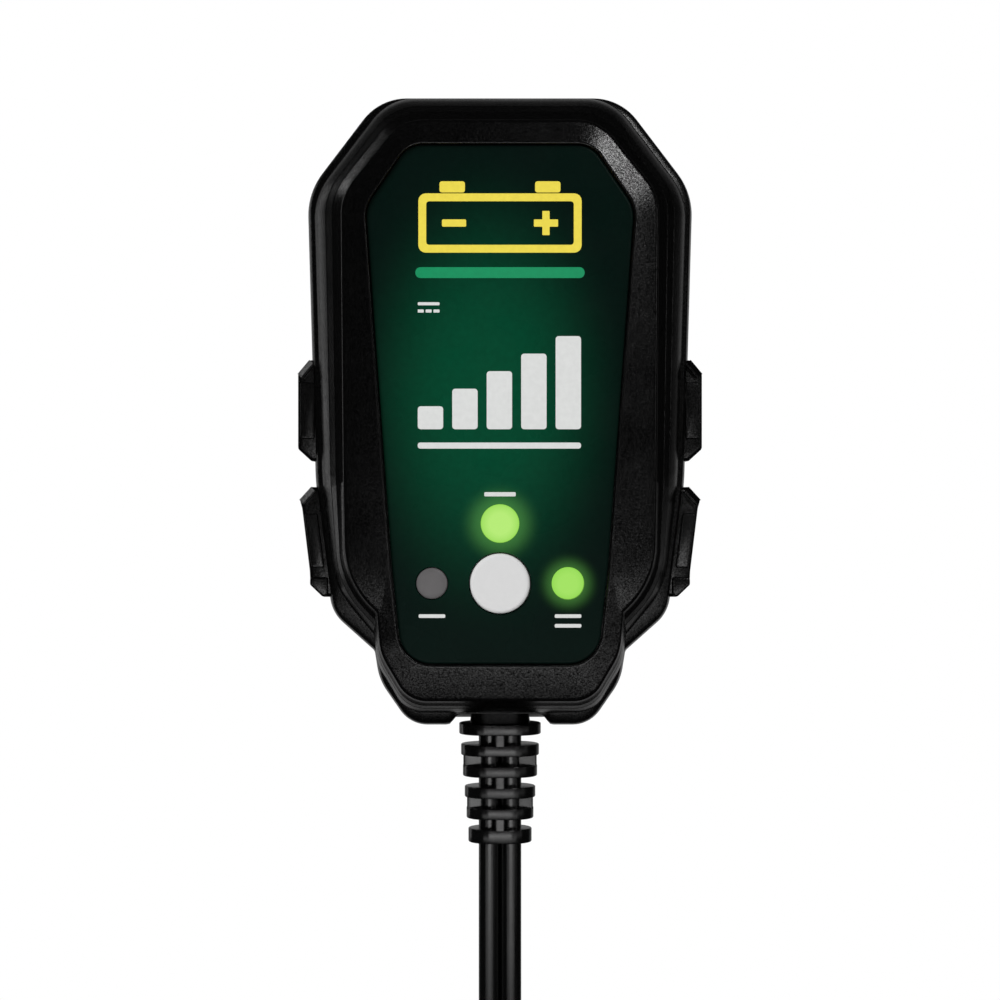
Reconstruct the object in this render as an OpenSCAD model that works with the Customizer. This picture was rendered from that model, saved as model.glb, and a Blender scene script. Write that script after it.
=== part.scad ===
// Plug-in wall battery charger with a flat twin output lead.
// +Z is up, the wall is the plane Y = 0 and the front faces -Y.
// The origin is midway between the mains blades on the back face.

/* [Shell] */
// Width of the rear shell at its widest
shell_w = 66.4; // [62:0.2:80]
// Height of the rear shell
shell_h = 107.6; // [104:0.2:125]
// Depth from the wall face to the front face
shell_d = 42; // [40:0.5:55]
// Wall thickness of both shells
wall = 2.2; // [1.6:0.1:2.6]
// Depth of the front bezel, down to the seam
bezel_d = 9.2; // [8:0.1:11]
// Height of the blades above the middle of the shell
blade_rise = 12; // [8:0.5:18]

/* [Outline] */
// Width of the flat top edge
top_flat = 41.6; // [38:0.2:44]
// Drop of the sloped top corners
corner_drop = 16.3; // [15:0.1:18]
// Narrowing of each side down to the shoulder
side_taper = 4.2; // [2:0.1:5]
// Height of the shoulder above the bottom edge
shoulder_rise = 19.3; // [17:0.1:22]
// Width of the nose below the shoulder
nose_w = 43.4; // [40:0.2:46]
// Width of the flat bottom edge
nose_flat = 31; // [26:0.2:34]
// Radius of the sloped top corners
crown_r = 11; // [8:0.5:12]
// Radius of the shoulders and the bottom corners
corner_r = 8; // [5:0.5:9]

/* [Grips] */
// Distance that the side grips stand out of the shell
grip_proud = 1.2; // [0.8:0.1:2]
// Depth of a grip along the shell's side
grip_d = 19.5; // [12:0.5:21]

/* [Panel] */
// Thickness of the front panel
panel_t = 1; // [0.6:0.1:1.4]
// Depth of the panel's face below the bezel's face
panel_sink = 0.8; // [0.4:0.1:1.2]
// Clearance round the panel in its recess
panel_gap = 0.15; // [0.1:0.05:0.3]
// Distance from the shell's top edge to the panel's
panel_drop = 10.2; // [9:0.1:12]
// Distance from the shell's bottom edge to the panel's
panel_lift = 11.6; // [11:0.1:13]
// Width of the panel at its widest
panel_w = 44.4; // [43:0.2:45.4]
// Width of the panel's flat top edge
panel_flat = 30.2; // [28:0.2:32]
// Drop of the panel's sloped top corners
panel_slope = 10.3; // [9:0.1:12]

/* [Button and lights] */
// Diameter of the select button
button_dia = 9.9; // [8:0.1:10]
// Travel of the select button
button_travel = 0.6; // [0.3:0.05:0.6]
// Clearance round the button
button_gap = 0.2; // [0.1:0.05:0.3]
// Diameter of the charge light
charge_dia = 6.2; // [5:0.1:6.4]
// Diameter of the two side lights
side_dia = 5.2; // [4:0.1:6]
// Spacing of the side lights from the centre line
side_pitch = 11.25; // [10.8:0.05:11.8]
// Height of the button's centre above the bottom edge
button_rise = 24.9; // [24:0.1:26]
// Height of the charge light above the button
charge_rise = 9.9; // [9.8:0.1:11]

/* [Mains blades] */
// Thickness of a blade
blade_t = 1.5; // [1.4:0.05:1.6]
// Width of a blade
blade_w = 6.35; // [6.2:0.05:6.6]
// Length of a blade outside the back face
blade_len = 17.5; // [15.9:0.1:18.3]
// Centre distance of the two blades
blade_pitch = 12.7; // [12:0.1:14]
// Diameter of the hole in a blade
blade_hole = 3.2; // [2.8:0.1:3.6]

/* [Boards] */
// Thickness of both circuit boards
board_t = 1.6; // [1:0.1:2]
// Width of the main board
board_w = 38; // [34:0.5:38.5]
// Height of the main board
board_h = 74; // [72:0.5:76]
// Height of the main board's standoffs
standoff = 8; // [7:0.2:10]
// Width of the panel board
pboard_w = 31; // [29:0.5:32]
// Height of the panel board
pboard_h = 23; // [22:0.5:24]

/* [Lead] */
// Width of the flat twin lead
lead_w = 7.4; // [7:0.1:7.6]
// Thickness of the flat twin lead
lead_t = 3.7; // [3.4:0.1:3.8]
// Number of flanges on the strain relief
flanges = 6; // [4:1:7]
// Pitch of the flanges
flange_pitch = 3.65; // [3.4:0.05:4]
// Thickness of a flange
flange_t = 1.9; // [1.6:0.1:2.2]
// Half width of the top flange
flange_half = 7.1; // [6.8:0.1:7.4]
// Narrowing of each flange's half width from the one above
flange_step = 0.32; // [0.2:0.02:0.34]
// Half depth of the top flange
flange_deep = 4.6; // [4.4:0.1:4.8]

/* [Hank] */
// Length of the hank's runs
run_len = 112; // [111:1:140]
// Radius of the innermost fold
fold_r = 22.4; // [22.4:0.1:26]
// Spacing of neighbouring turns in one layer
turn_step = 4.7; // [4.6:0.1:5.2]
// Spacing of the two layers
layer_step = 8.1; // [8:0.1:9]
// Distance that the runs are drawn in at the waist
waist_in = 14; // [8:0.5:14]
// Height of the tie round the waist
tie_h = 7; // [5:0.5:14]

/* [Connector] */
// Diameter of the connector's pin and of what its socket takes
contact_dia = 4; // [3.8:0.1:4.2]
// Centre distance of the pin and the socket
contact_pitch = 8.4; // [8.2:0.1:9]
// Length of the pin outside the connector's body
pin_len = 12; // [10:0.5:13]
// Length of the connector's body above the pin's shoulder
plug_len = 24; // [20:0.5:28]

/* [Hidden] */

$fn = 48;
eps = 0.01;
// Gap left between pieces that only just clear each other
slip = 0.1;
// Gap round a screw's thread or a pressed-in piece
seat = 0.02;

// ---- outlines, seen from the front, in coordinates about the shell's middle ----
half_w = shell_w / 2;
half_h = shell_h / 2;
nose_half = nose_w / 2;
shoulder_z = shoulder_rise - half_h;

// Heights where the sides bend, above the shoulder, and where the nose begins and bends
side_bend = 22.5;
nose_top = shoulder_z - 6.5;
nose_bend = nose_top - 5;
// Corners of the shell's right half, top to bottom: x, z and corner radius
shell_half = [
    [top_flat / 2, half_h, crown_r - 1],
    [half_w, half_h - corner_drop, crown_r + 1],
    [half_w - side_taper / 3, shoulder_z + side_bend, 40],
    [half_w - side_taper, shoulder_z, corner_r - 1],
    [nose_half, nose_top, 1],
    [nose_half - 0.8, nose_bend, 10],
    [nose_flat / 2, -half_h, corner_r - 2]];
// How far the bezel's rim stands in from the shell at each corner: x, z and radius
rim_in = [[1.9, 1.1, 0.6], [1.8, 1.2, 0.6], [1.8, 0, 0.6], [1.1, -4.5, -8], [0.4, -3.2, 0.6],
    [0.3, -3, 0.6], [-0.3, -2.8, 0.6]];
// How far the front face stands in from the shell at each corner: x, z and radius
face_in = [[4.3, 5.9, 2.2], [6.8, 1.9, 2.6], [5.8, 0, 0.6], [3.3, -5.7, -8], [1.2, -7.3, 0.6],
    [1, -5.5, 0.6], [0.3, -5.3, 0.6]];
// Corners of the panel's right half
panel_top = half_h - panel_drop;
panel_low = panel_lift - half_h;
panel_half = [
    [panel_flat / 2, panel_top, 4.5],
    [panel_w / 2, panel_top - panel_slope, 6],
    [panel_w / 2 - 4.3, panel_low + 16.1, 40],
    [panel_w / 2 - 6, panel_low, 5.5]];

function unit(v) = v / norm(v);
function cross2(a, b) = a.x * b.y - a.y * b.x;
function spin(v, a) = [v.x * cos(a) - v.y * sin(a), v.x * sin(a) + v.y * cos(a)];
function flat(c) = [c.x, c.y];
function edge_normal(a, b) = let (e = unit(flat(b) - flat(a))) [e.y, -e.x];
// The inward move of a corner that shifts both of its edges by one
function mitre(m, n) = (m + n) / (1 + m * n);
function last(list) = len(list) - 1;
// The whole outline from its right half, clockwise seen from the front
function whole(half) = concat(half,
    [for (i = [last(half) : -1 : 0]) [-half[i].x, half[i].y, half[i][2]]]);
function stand_in(half, by) = [for (i = [0 : last(half)]) half[i] - by[i]];
// A closed corner list moved inwards by t
function inset(c, t) = [for (i = [0 : last(c)])
    let (a = c[(i + last(c)) % len(c)], b = c[i], d = c[(i + 1) % len(c)],
        m = edge_normal(a, b), n = edge_normal(b, d), out = cross2(m, n) < 0,
        p = flat(b) + t * mitre(m, n))
    [p.x, p.y, out ? max(b[2] - t, 0.4) : b[2] + t]];
// Points of a corner list with its corners rounded in n steps
function rounded(c, n = 4) = [for (i = [0 : last(c)])
    let (a = c[(i + last(c)) % len(c)], b = c[i], d = c[(i + 1) % len(c)],
        m = edge_normal(a, b), k = edge_normal(b, d), side = cross2(m, k) < 0 ? 1 : -1,
        centre = flat(b) + side * b[2] * mitre(m, k), sweep = atan2(cross2(m, k), m * k))
    for (j = [0 : n]) centre - side * b[2] * spin(m, sweep * j / n)];

// Y of a depth behind the front face
function at(d) = d - shell_d;
shell_c = whole(shell_half);
rim_c = whole(stand_in(shell_half, rim_in));
face_c = whole(stand_in(shell_half, face_in));
panel_c = whole(panel_half);
// Outline between the face (0) and the rim (1)
function shoulder_c(share) = whole([for (i = [0 : last(shell_half)])
    stand_in(shell_half, face_in)[i] * (1 - share) + stand_in(shell_half, rim_in)[i] * share]);

// ---- places that pieces share ----
y_panel = at(panel_sink);
y_floor = y_panel + panel_t;
floor_t = 1.6;
y_inner = y_floor + floor_t;
y_seam = at(bezel_d);
y_back_in = -wall;
y_board = y_back_in - standoff;
y_parts = y_board - board_t;
// Front face of the panel board
board_gap = 5.6;
y_pboard = y_inner + board_gap;
button_z = button_rise - half_h;
charge_z = button_z + charge_rise;
pboard_z = button_z + 3.6;
lights = [[0, charge_z, charge_dia], [-side_pitch, button_z, side_dia],
    [side_pitch, button_z, side_dia]];
flange_rim = 0.8;
cap_flange_t = 1.1;
plunger_r = 1.75;
plunger_h = button_travel + 0.2;
plunger_in = 0.6;
switch_h = y_pboard - (y_inner + slip + cap_flange_t + plunger_h);
// Screw posts near the four corners
post_in = 9.7;
post_drop = 20;
post_lift = 12.5;
post_x = half_w - post_in;
low_post_x = post_x - 1;
post_high = half_h - post_drop;
post_low = shoulder_z + post_lift;
posts = [[-post_x, post_high], [post_x, post_high], [-low_post_x, post_low], [low_post_x, post_low]];
post_r = 3.1;
sleeve_len = 13;
y_post = y_back_in - sleeve_len;
screw_grip = 7;
pilot_len = screw_grip + 3;
screw_r = 1.5;
head_r = 2.8;
head_t = 2;
counterbore = 5;
pilot_r = screw_r + seat;
board_screw_r = 1;
board_pilot_r = board_screw_r + seat;
board_head_r = 1.9;
board_head_t = 1.2;
// Length of a board screw's thread in the rear standoffs and in the panel board's
board_grip = 4;
panel_grip = 3.5;
board_z = 4;
board_bottom = board_z - board_h / 2;
standoff_r = 2.5;
standoffs = [for (sx = [-1, 1]) for (sz = [-1, 1])
    [sx * (board_w / 2 - 3), board_z + sz * (board_h / 2 - 3)]];
pstandoffs = [for (sx = [-1, 1]) [sx * (pboard_w / 2 - 3), pboard_z + pboard_h / 2 - 3]];
// The lead leaves the bottom this far in front of the wall
lead_y = -22;
relief_top = -half_h;
relief_end = relief_top - (flanges - 1) * flange_pitch - flange_t - 0.5;
// Top of the hank's runs, and the straight bit of lead above it
hank_top = -146;
hank_start = hank_top + lead_w;
turns = 4 + 1 / 6;
turn_back = 2 + 1 / 12;
hank_y = lead_y - fold_r - turn_step * turn_back;
tail_len = 40;
plug_top = hank_top - run_len - tail_len;

// ---- shape helpers ----
module about_middle() {
    translate([0, 0, -blade_rise]) children();
}
// A flat outline given thickness from y0 back to y1
module slab(points, y0, y1) {
    translate([0, y1, 0]) rotate([90, 0, 0]) linear_extrude(y1 - y0) polygon(points);
}
// A round bar along Y
module bar(x, z, r, y0, y1) {
    translate([x, y1, z]) rotate([90, 0, 0]) cylinder(r = r, h = y1 - y0);
}
module box(x, z, w, h, y0, y1) {
    translate([x - w / 2, y0, z - h / 2]) cube([w, y1 - y0, h]);
}
// An upright bar of height h from z, a rectangle with round ends in plan: half its width and depth
module rounded_bar(z, h, half, deep) {
    translate([0, 0, z]) linear_extrude(h) {
        square([2 * (half - deep), 2 * deep], center = true);
        for (s = [-1, 1]) translate([s * (half - deep), 0]) circle(r = deep);
    }
}
// Rings of points joined into one closed solid
module skin(rings) {
    n = len(rings[0]);
    m = len(rings);
    polyhedron(
        points = [for (r = rings) for (p = r) p],
        faces = concat(
            [[for (j = [0 : n - 1]) j]],
            [for (i = [0 : m - 2]) for (j = [0 : n - 1])
                let (a = i * n + j, b = i * n + (j + 1) % n) each [[a, a + n, b], [b, a + n, b + n]]],
            [[for (j = [n - 1 : -1 : 0]) (m - 1) * n + j]]));
}
// Outlines at rising Y joined into a smooth shell
module loft(sections) {
    skin([for (s = sections) [for (p = rounded(s[1])) [p.x, s[0], p.y]]]);
}

// ---- housing ----
module front_bezel() {
    color("#1c1c1e") about_middle() difference() {
        union() {
            difference() {
                loft([[at(0), inset(face_c, 0.7)], [at(0.6), inset(face_c, 0.1)],
                    [at(2.4), shoulder_c(0.45)], [at(5), shoulder_c(0.8)],
                    [y_seam - 0.5, shoulder_c(1)], [y_seam, inset(rim_c, 0.4)]]);
                loft([[y_inner, inset(face_c, wall - 0.8)], [at(5.6), inset(shoulder_c(0.8), wall)],
                    [y_seam + 1, inset(rim_c, wall)]]);
            }
            for (p = posts) bar(p.x, p.y, post_r, y_inner - eps, y_post - slip / 2);
            for (p = pstandoffs) bar(p.x, p.y, standoff_r, y_inner - eps, y_pboard);
        }
        slab(rounded(inset(panel_c, -panel_gap)), at(-1), y_floor);
        bar(0, button_z, button_dia / 2 + button_gap, y_floor - 1, y_inner + 1);
        for (l = lights) bar(l.x, l.y, l[2] / 2 + slip, y_floor - 1, y_inner + 1);
        for (p = posts) bar(p.x, p.y, pilot_r, y_post - pilot_len, y_post + 1);
        for (p = pstandoffs) bar(p.x, p.y, board_pilot_r, y_pboard - panel_grip - 0.5, y_pboard + 1);
    }
}
grip_in = 4;
grip_start = bezel_d + 1.5;
// Profile of a side grip seen from the front, about the shell's middle: x out from half_w and z
upper_grip = [[-grip_in, 8.7], [grip_proud - 2, 8.7], [grip_proud, 6.3], [grip_proud, -6.4],
    [grip_proud - 2.3, -8.5], [-grip_in, -8.5]];
lower_grip = [[-grip_in, -12.9], [grip_proud - 2.3, -12.9], [grip_proud - 0.3, -15.1],
    [grip_proud - 0.7, -16.5], [grip_proud - 2, -27.2], [grip_proud - 2.1, -29.5],
    [grip_proud - 4.3, -31.6], [-grip_in - 1.4, -31.6], [-grip_in - 1.4, -24]];
module grip(profile) {
    for (side = [-1, 1])
        slab([for (p = profile) [side * (half_w + p.x), p.y]], at(grip_start), at(grip_start + grip_d));
}
module rear_cover() {
    color("#17171a") about_middle() difference() {
        union() {
            difference() {
                union() {
                    loft([[y_seam, inset(rim_c, 0.4)], [y_seam + 0.5, inset(shell_c, 0.9)],
                        [y_seam + 4, inset(shell_c, 0.3)], [y_seam + 9, shell_c], [-6, shell_c],
                        [-1.6, inset(shell_c, 0.9)], [0, inset(shell_c, 2.6)]]);
                    grip(upper_grip);
                    grip(lower_grip);
                }
                loft([[y_seam - 1, inset(rim_c, wall)], [y_seam + 0.6, inset(rim_c, wall)],
                    [y_seam + 9, inset(shell_c, wall)], [-6, inset(shell_c, wall)],
                    [y_back_in, inset(shell_c, wall + 1.4)]]);
            }
            for (p = posts) bar(p.x, p.y, post_r, y_post, y_back_in + eps);
            for (p = standoffs) bar(p.x, p.y, standoff_r, y_board, y_back_in + eps);
        }
        for (p = posts) {
            bar(p.x, p.y, screw_r + 0.2, y_post - 1, 1);
            bar(p.x, p.y, head_r + 0.2, -counterbore, 1);
        }
        for (p = standoffs) bar(p.x, p.y, board_pilot_r, y_board - 1, y_board + board_grip + 1);
        for (side = [-1, 1])
            box(side * blade_pitch / 2, blade_rise, blade_t + slip, blade_w + slip, -wall - 1, 1);
        // Slot for the neck of the strain relief
        translate([0, lead_y, 0]) rounded_bar(relief_top - 1, neck_h + 2, neck_half, neck_deep);
    }
}
module front_panel() {
    color("#0d4a30") about_middle() difference() {
        slab(rounded(panel_c), y_panel, y_floor);
        bar(0, button_z, button_dia / 2 + button_gap, y_panel - 1, y_floor + 1);
        for (l = lights) bar(l.x, l.y, l[2] / 2 + slip, y_panel - 1, y_floor + 1);
    }
}
// Arms of the cross recess in a screw's head
recess_w = 3;
recess_t = 0.7;
module housing_screws() {
    color("silver") about_middle() for (p = posts) difference() {
        union() {
            bar(p.x, p.y, head_r, -counterbore, -counterbore + head_t);
            bar(p.x, p.y, screw_r, y_post - screw_grip, eps - counterbore);
        }
        for (a = [0, 90]) translate([p.x, 0, p.y]) rotate([0, a, 0])
            box(0, 0, recess_w, recess_t, -counterbore + head_t - 1, 0);
    }
}

// ---- button, lights and panel board ----
y_cap = y_panel - button_travel - slip;
y_flange = y_inner + slip;
y_plunger = y_flange + cap_flange_t;
cap_edge = 0.35;
module select_button() {
    r = button_dia / 2;
    cap_len = y_flange - y_cap;
    color("#ededed") about_middle() translate([0, y_cap, button_z])
        rotate([-90, 0, 0]) rotate_extrude() polygon([
            [0, 0], [r - cap_edge, 0], [r, cap_edge], [r, cap_len], [r + flange_rim, cap_len],
            [r + flange_rim, cap_len + cap_flange_t], [0, cap_len + cap_flange_t]]);
}
lens_proud = 0.05;
lens_flange_t = 0.8;
module lens(l, tint) {
    color(tint) about_middle() {
        bar(l.x, l.y, l[2] / 2, y_panel - lens_proud, y_inner + eps);
        bar(l.x, l.y, l[2] / 2 + flange_rim, y_inner, y_inner + lens_flange_t);
    }
}
module charge_lens() lens(lights[0], "#b8f06a");
module left_lens() lens(lights[1], "#6b6b6b");
module right_lens() lens(lights[2], "#a8ea5c");
// Each light-emitting diode has a domed end, whose middle is this far behind the bezel's wall
led_r = 1.5;
y_led = y_inner + 2.6;
module status_leds() {
    color("#e8f5d0") about_middle() for (l = lights) {
        bar(l.x, l.y, led_r, y_led, y_pboard);
        translate([l.x, y_led, l.y]) sphere(r = led_r);
    }
}
switch_w = 6;
module switch_body() {
    color("#303034") about_middle() difference() {
        box(0, button_z, switch_w, switch_w, y_pboard - switch_h, y_pboard);
        bar(0, button_z, plunger_r + 0.05, y_pboard - switch_h - 1,
            y_pboard - switch_h + plunger_in + plunger_h);
    }
}
module switch_plunger() {
    color("#4a3020") about_middle() bar(0, button_z, plunger_r, y_plunger,
        y_pboard - switch_h + plunger_in);
}
module screw_holes(places, y) {
    for (p = places) bar(p.x, p.y, board_screw_r + 0.15, y - 1, y + board_t + 1);
}
module panel_board() {
    color("#2d6b3a") about_middle() difference() {
        box(0, pboard_z, pboard_w, pboard_h, y_pboard, y_pboard + board_t);
        screw_holes(pstandoffs, y_pboard);
    }
}
// Pin header of four ways that joins the two boards
link_z = pboard_z - 5;
link_w = 10.2;
link_h = 2.5;
module board_link() {
    color("#222222") about_middle() box(0, link_z, link_w, link_h, y_pboard + board_t, y_parts);
}

// ---- blades and power board ----
y_tab = y_parts - 0.8;
// Width of a blade's tab through the main board
tab_w = 2.6;
// The full width of a blade ends this far behind the wall, in the carrier
y_root = y_back_in - 3;
// Length and width of the slopes at a blade's tip, and the hole's distance from the tip
tip_len = 2;
tip_in = 1.6;
hole_in = 5.5;
module blade(side) {
    x = side * blade_pitch / 2;
    half = blade_w / 2;
    color("#d8c890") about_middle() difference() {
        union() {
            translate([x - blade_t / 2, 0, blade_rise]) rotate([0, 90, 0]) linear_extrude(blade_t)
                polygon([[-half, y_root], [half, y_root], [half, blade_len - tip_len],
                    [half - tip_in, blade_len], [tip_in - half, blade_len], [-half, blade_len - tip_len]]);
            box(x, blade_rise, blade_t, tab_w, y_tab, y_root + eps);
        }
        translate([x - blade_t, blade_len - hole_in, blade_rise]) rotate([0, 90, 0])
            cylinder(r = blade_hole / 2, h = 2 * blade_t);
    }
}
module blade_left() blade(-1);
module blade_right() blade(1);
// The carrier is this thick and this much wider and higher than the blades
carrier_t = 4;
carrier_side = 10;
carrier_end = 6;
module blade_carrier() {
    color("#3a3a3e") about_middle() difference() {
        box(0, blade_rise, blade_pitch + carrier_side, blade_w + carrier_end, y_back_in - carrier_t,
            y_back_in);
        for (side = [-1, 1]) {
            x = side * blade_pitch / 2;
            box(x, blade_rise, blade_t + 2 * seat, blade_w + 2 * seat, y_root, 1);
            box(x, blade_rise, blade_t + 2 * seat, tab_w + 2 * seat, y_back_in - carrier_t - 1, 1);
        }
    }
}
module main_board() {
    color("#3c7a3f") about_middle() difference() {
        box(0, board_z, board_w, board_h, y_parts, y_board);
        screw_holes(standoffs, y_parts);
        for (side = [-1, 1])
            box(side * blade_pitch / 2, blade_rise, blade_t + 3 * slip, tab_w + 3 * slip, y_parts - 1,
                y_board + 1);
    }
}
module board_screws() {
    color("silver") about_middle() {
        for (p = standoffs) {
            bar(p.x, p.y, board_screw_r, y_parts - eps, y_board + board_grip);
            bar(p.x, p.y, board_head_r, y_parts - board_head_t, y_parts);
        }
        for (p = pstandoffs) {
            bar(p.x, p.y, board_screw_r, y_pboard - panel_grip, y_pboard + board_t + eps);
            bar(p.x, p.y, board_head_r, y_pboard + board_t, y_pboard + board_t + board_head_t);
        }
    }
}
// Parts on the front of the main board; round ones as x, z, radius and height
upper_row = 23;
fuse = [-14, upper_row, 2.4, 7];
input_cap = [0, upper_row + 10, 5, 14];
safety_cap = [-15.2, 4, 2.6, 6];
output_caps = [[-4.6, -17, 4, 12], [4.6, -17, 4, 12]];
// Square ones as x, z, width, height and how far they stand out
bridge = [0, upper_row, 8, 6.5, 2.6];
coupler = [13.6, 3, 6.5, 4.6, 3.4];
controller = [-14, -12, 5, 6.2, 1.6];
module on_board(b) {
    box(b[0], b[1], b[2], b[3], y_parts - b[4], y_parts);
}
module can(c) {
    bar(c[0], c[1], c[2], y_parts - c[3], y_parts);
}
module input_fuse() {
    color("#caa46a") about_middle() can(fuse);
}
choke_x = 13.5;
choke_r = 4;
choke_waist = 2.6;
choke_h = 8;
choke_rim = 1.2;
module input_choke() {
    color("#3a3d42") about_middle() translate([choke_x, y_parts - choke_h, upper_row]) rotate([-90, 0, 0])
        rotate_extrude() polygon([[0, 0], [choke_r, 0], [choke_r, choke_rim], [choke_waist, choke_rim + 0.8],
            [choke_waist, choke_h - choke_rim - 0.8], [choke_r, choke_h - choke_rim], [choke_r, choke_h],
            [0, choke_h]]);
}
module bridge_rectifier() {
    color("#202024") about_middle() on_board(bridge);
}
module input_capacitor() {
    color("#2a2f58") about_middle() can(input_cap);
}
module safety_capacitor() {
    color("#2f63b8") about_middle() can(safety_cap);
}
// Transformer: a core with a middle leg and two outer legs, a bobbin on the middle leg and the
// winding on the bobbin. Each is this wide, this high and stands this far out from the board.
trafo_z = 1;
leg_w = 3.9;
leg_h = 5.3;
yoke_w = 20;
core_d = 16;
outer_leg = 3.2;
bobbin_w = 13;
bobbin_h = 16;
bobbin_d = 13;
bobbin_flange = 1.4;
tube_w = leg_w + 2.1;
tube_h = leg_h + 2.1;
winding_w = 11;
winding_h = 13.4;
// A box round the transformer's axis, from one distance in front of the board to another
module round_leg(w, h, far, near) {
    box(0, trafo_z, w, h, y_parts - far, y_parts - near);
}
module transformer_bobbin() {
    color("#d9d2bd") about_middle() difference() {
        union() {
            round_leg(bobbin_w, bobbin_h, bobbin_flange, 0);
            round_leg(tube_w, tube_h, bobbin_d - 1.2, bobbin_flange - slip);
            round_leg(bobbin_w, bobbin_h, bobbin_d, bobbin_d - 1.3);
        }
        round_leg(leg_w + slip, leg_h + slip, bobbin_d + 1, -1);
    }
}
module transformer_winding() {
    color("#c9782e") about_middle() difference() {
        round_leg(winding_w, winding_h, bobbin_d - bobbin_flange, bobbin_flange + slip);
        round_leg(tube_w + slip, tube_h + slip, bobbin_d + 1, -1);
    }
}
module transformer_core() {
    color("#4a4a4e") about_middle() {
        round_leg(leg_w, leg_h, bobbin_d + slip, slip);
        round_leg(yoke_w, leg_h, core_d, bobbin_d + slip / 2);
        for (side = [-1, 1]) translate([side * (yoke_w - outer_leg) / 2, 0, 0])
            round_leg(outer_leg, leg_h, bobbin_d + slip, 0);
    }
}
// The heat sink is an angle beside the two power parts, which lean on it
sink_x = 12.2;
sink_z = -16;
sink_t = 1.4;
sink_h = 14;
sink_d = 14;
power_w = 4.4;
power_h = 6;
power_d = 10;
power_x = sink_x + sink_t / 2 + slip + power_w / 2;
module heat_sink() {
    color("#b9bcc0") about_middle() {
        box(sink_x, sink_z, sink_t, sink_h, y_parts - sink_d, y_parts);
        box(sink_x + 2.4, sink_z, power_w, sink_h, y_parts - sink_d, y_parts - sink_d + sink_t);
    }
}
module power_part(z) {
    color("#1e1e20") about_middle() box(power_x, z, power_w, power_h, y_parts - power_d, y_parts);
}
module power_transistor() power_part(sink_z + 3.6);
module output_diode() power_part(sink_z - 3.6);
module output_capacitors() {
    color("#20325c") about_middle() for (c = output_caps) can(c);
}
module optocoupler() {
    color("#f0efe8") about_middle() on_board(coupler);
}
module controller_chip() {
    color("#151517") about_middle() on_board(controller);
}

// ---- lead ----
neck_half = 5.4;
neck_deep = 3;
neck_h = 5;
// The collar rests over the bottom wall, which slopes up towards the seam
collar_z = -half_h + wall + 0.6;
// Half of the twin lead's section, x across the width
groove = lead_t * 0.32;
function lead_section(grow = 0) = let (r = lead_t / 2 + grow, c = lead_w / 2 - lead_t / 2) concat(
    [for (a = [-120 : 40 : 120]) [c + r * cos(a), r * sin(a)]], [[0, groove + grow]],
    [for (a = [60 : 40 : 300]) [-c + r * cos(a), r * sin(a)]], [[0, -groove - grow]]);
function flange_z(k) = relief_top - k * flange_pitch;
module strain_relief() {
    color("#26262a") about_middle() translate([0, lead_y, 0]) difference() {
        union() {
            for (k = [0 : flanges - 1]) {
                t = flange_t + (k == flanges - 1 ? 0.5 : 0);
                half = flange_half - k * flange_step;
                rounded_bar(flange_z(k) - t, t, half, flange_deep - k * flange_step / 2);
            }
            for (k = [0 : flanges - 2]) translate([0, 0, flange_z(k + 1) - eps]) relief_web(k);
            // Neck through the shell's wall and the shoulder that keeps it in
            rounded_bar(relief_top - eps, collar_z - relief_top + 1, neck_half - slip, neck_deep - slip);
            rounded_bar(collar_z, 2, neck_half + 1.2, neck_deep);
        }
        translate([0, 0, relief_end - 1]) linear_extrude(relief_top - relief_end + 8)
            polygon(lead_section(0.03));
    }
}
// Width of the strain relief's front and back ribs, and depth of its side webs
rib_t = 1.7;
web_t = 3.2;
// The bridge between two flanges: front and back ribs, then side webs, by turns
module relief_web(k) {
    h = flange_pitch - flange_t + 2 * eps;
    deep = flange_deep - (k + 1) * flange_step / 2;
    half = flange_half - (k + 1) * flange_step - 0.1;
    rib_in = lead_t * 0.3;
    web_in = lead_w / 2 - 0.6;
    for (s = [-1, 1])
        if (k % 2 == 0) {
            translate([-rib_t / 2, s > 0 ? rib_in : -deep, 0]) cube([rib_t, deep - rib_in, h]);
        } else {
            translate([s > 0 ? web_in : -half, -web_t / 2, 0]) cube([half - web_in, web_t, h]);
        }
}
// A tube swept along points; each ring stands square to the path, its width along X
function along(p, i) = unit(p[min(i + 1, last(p))] - p[max(i - 1, 0)]);
function ring_at(p, i, section) = let (t = along(p, i), across = unit([1, 0, 0] - t.x * t),
    up = cross(across, t)) [for (s = section) p[i] + s.x * across + s.y * up];
module sweep(path, section) {
    skin([for (i = [0 : last(path)]) ring_at(path, i, section)]);
}
inner_top = relief_top + 5;
module lead_end() {
    color("#202022") about_middle()
        sweep([for (z = [inner_top, relief_top, relief_end]) [0, lead_y, z]], lead_section());
}
wire_r = 1;
wire_ring = [for (a = [0 : 45 : 315]) wire_r * [cos(a), sin(a)]];
module output_wires() {
    color("#b03028") about_middle() for (side = [-1, 1])
        sweep([[side * lead_w / 4, lead_y, inner_top], [side * lead_w / 4, lead_y, inner_top + 2],
            [side * 3, lead_y + 1, inner_top + 6], [side * 5, lead_y + 4, inner_top + 10],
            [side * 7.5, y_parts - 3.4, board_bottom + 1.4], [side * 8, y_parts - 1.6, board_bottom + 2.4],
            [side * 8, y_parts, board_bottom + 2.4]],
            wire_ring);
}
// Route of the free stretch, from the strain relief down to the hank
route = [[0, lead_y, relief_end], [0, lead_y, -85], [0, lead_y, -100], [0, lead_y, -115],
    [0, lead_y, -130], [0, lead_y, hank_start]];
module lead_straight() {
    color("#202022") about_middle() sweep(route, lead_section());
}
// Turn number t runs from 0 at the top of the back run; the radius shrinks to the turn-back
// and grows again while the second layer winds outwards
function turn_r(t) = fold_r + turn_step * abs(turn_back - t);
function layer_x(t) = layer_step * min(max((t - turn_back) * 6 + 0.5, 0), 1);
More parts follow.
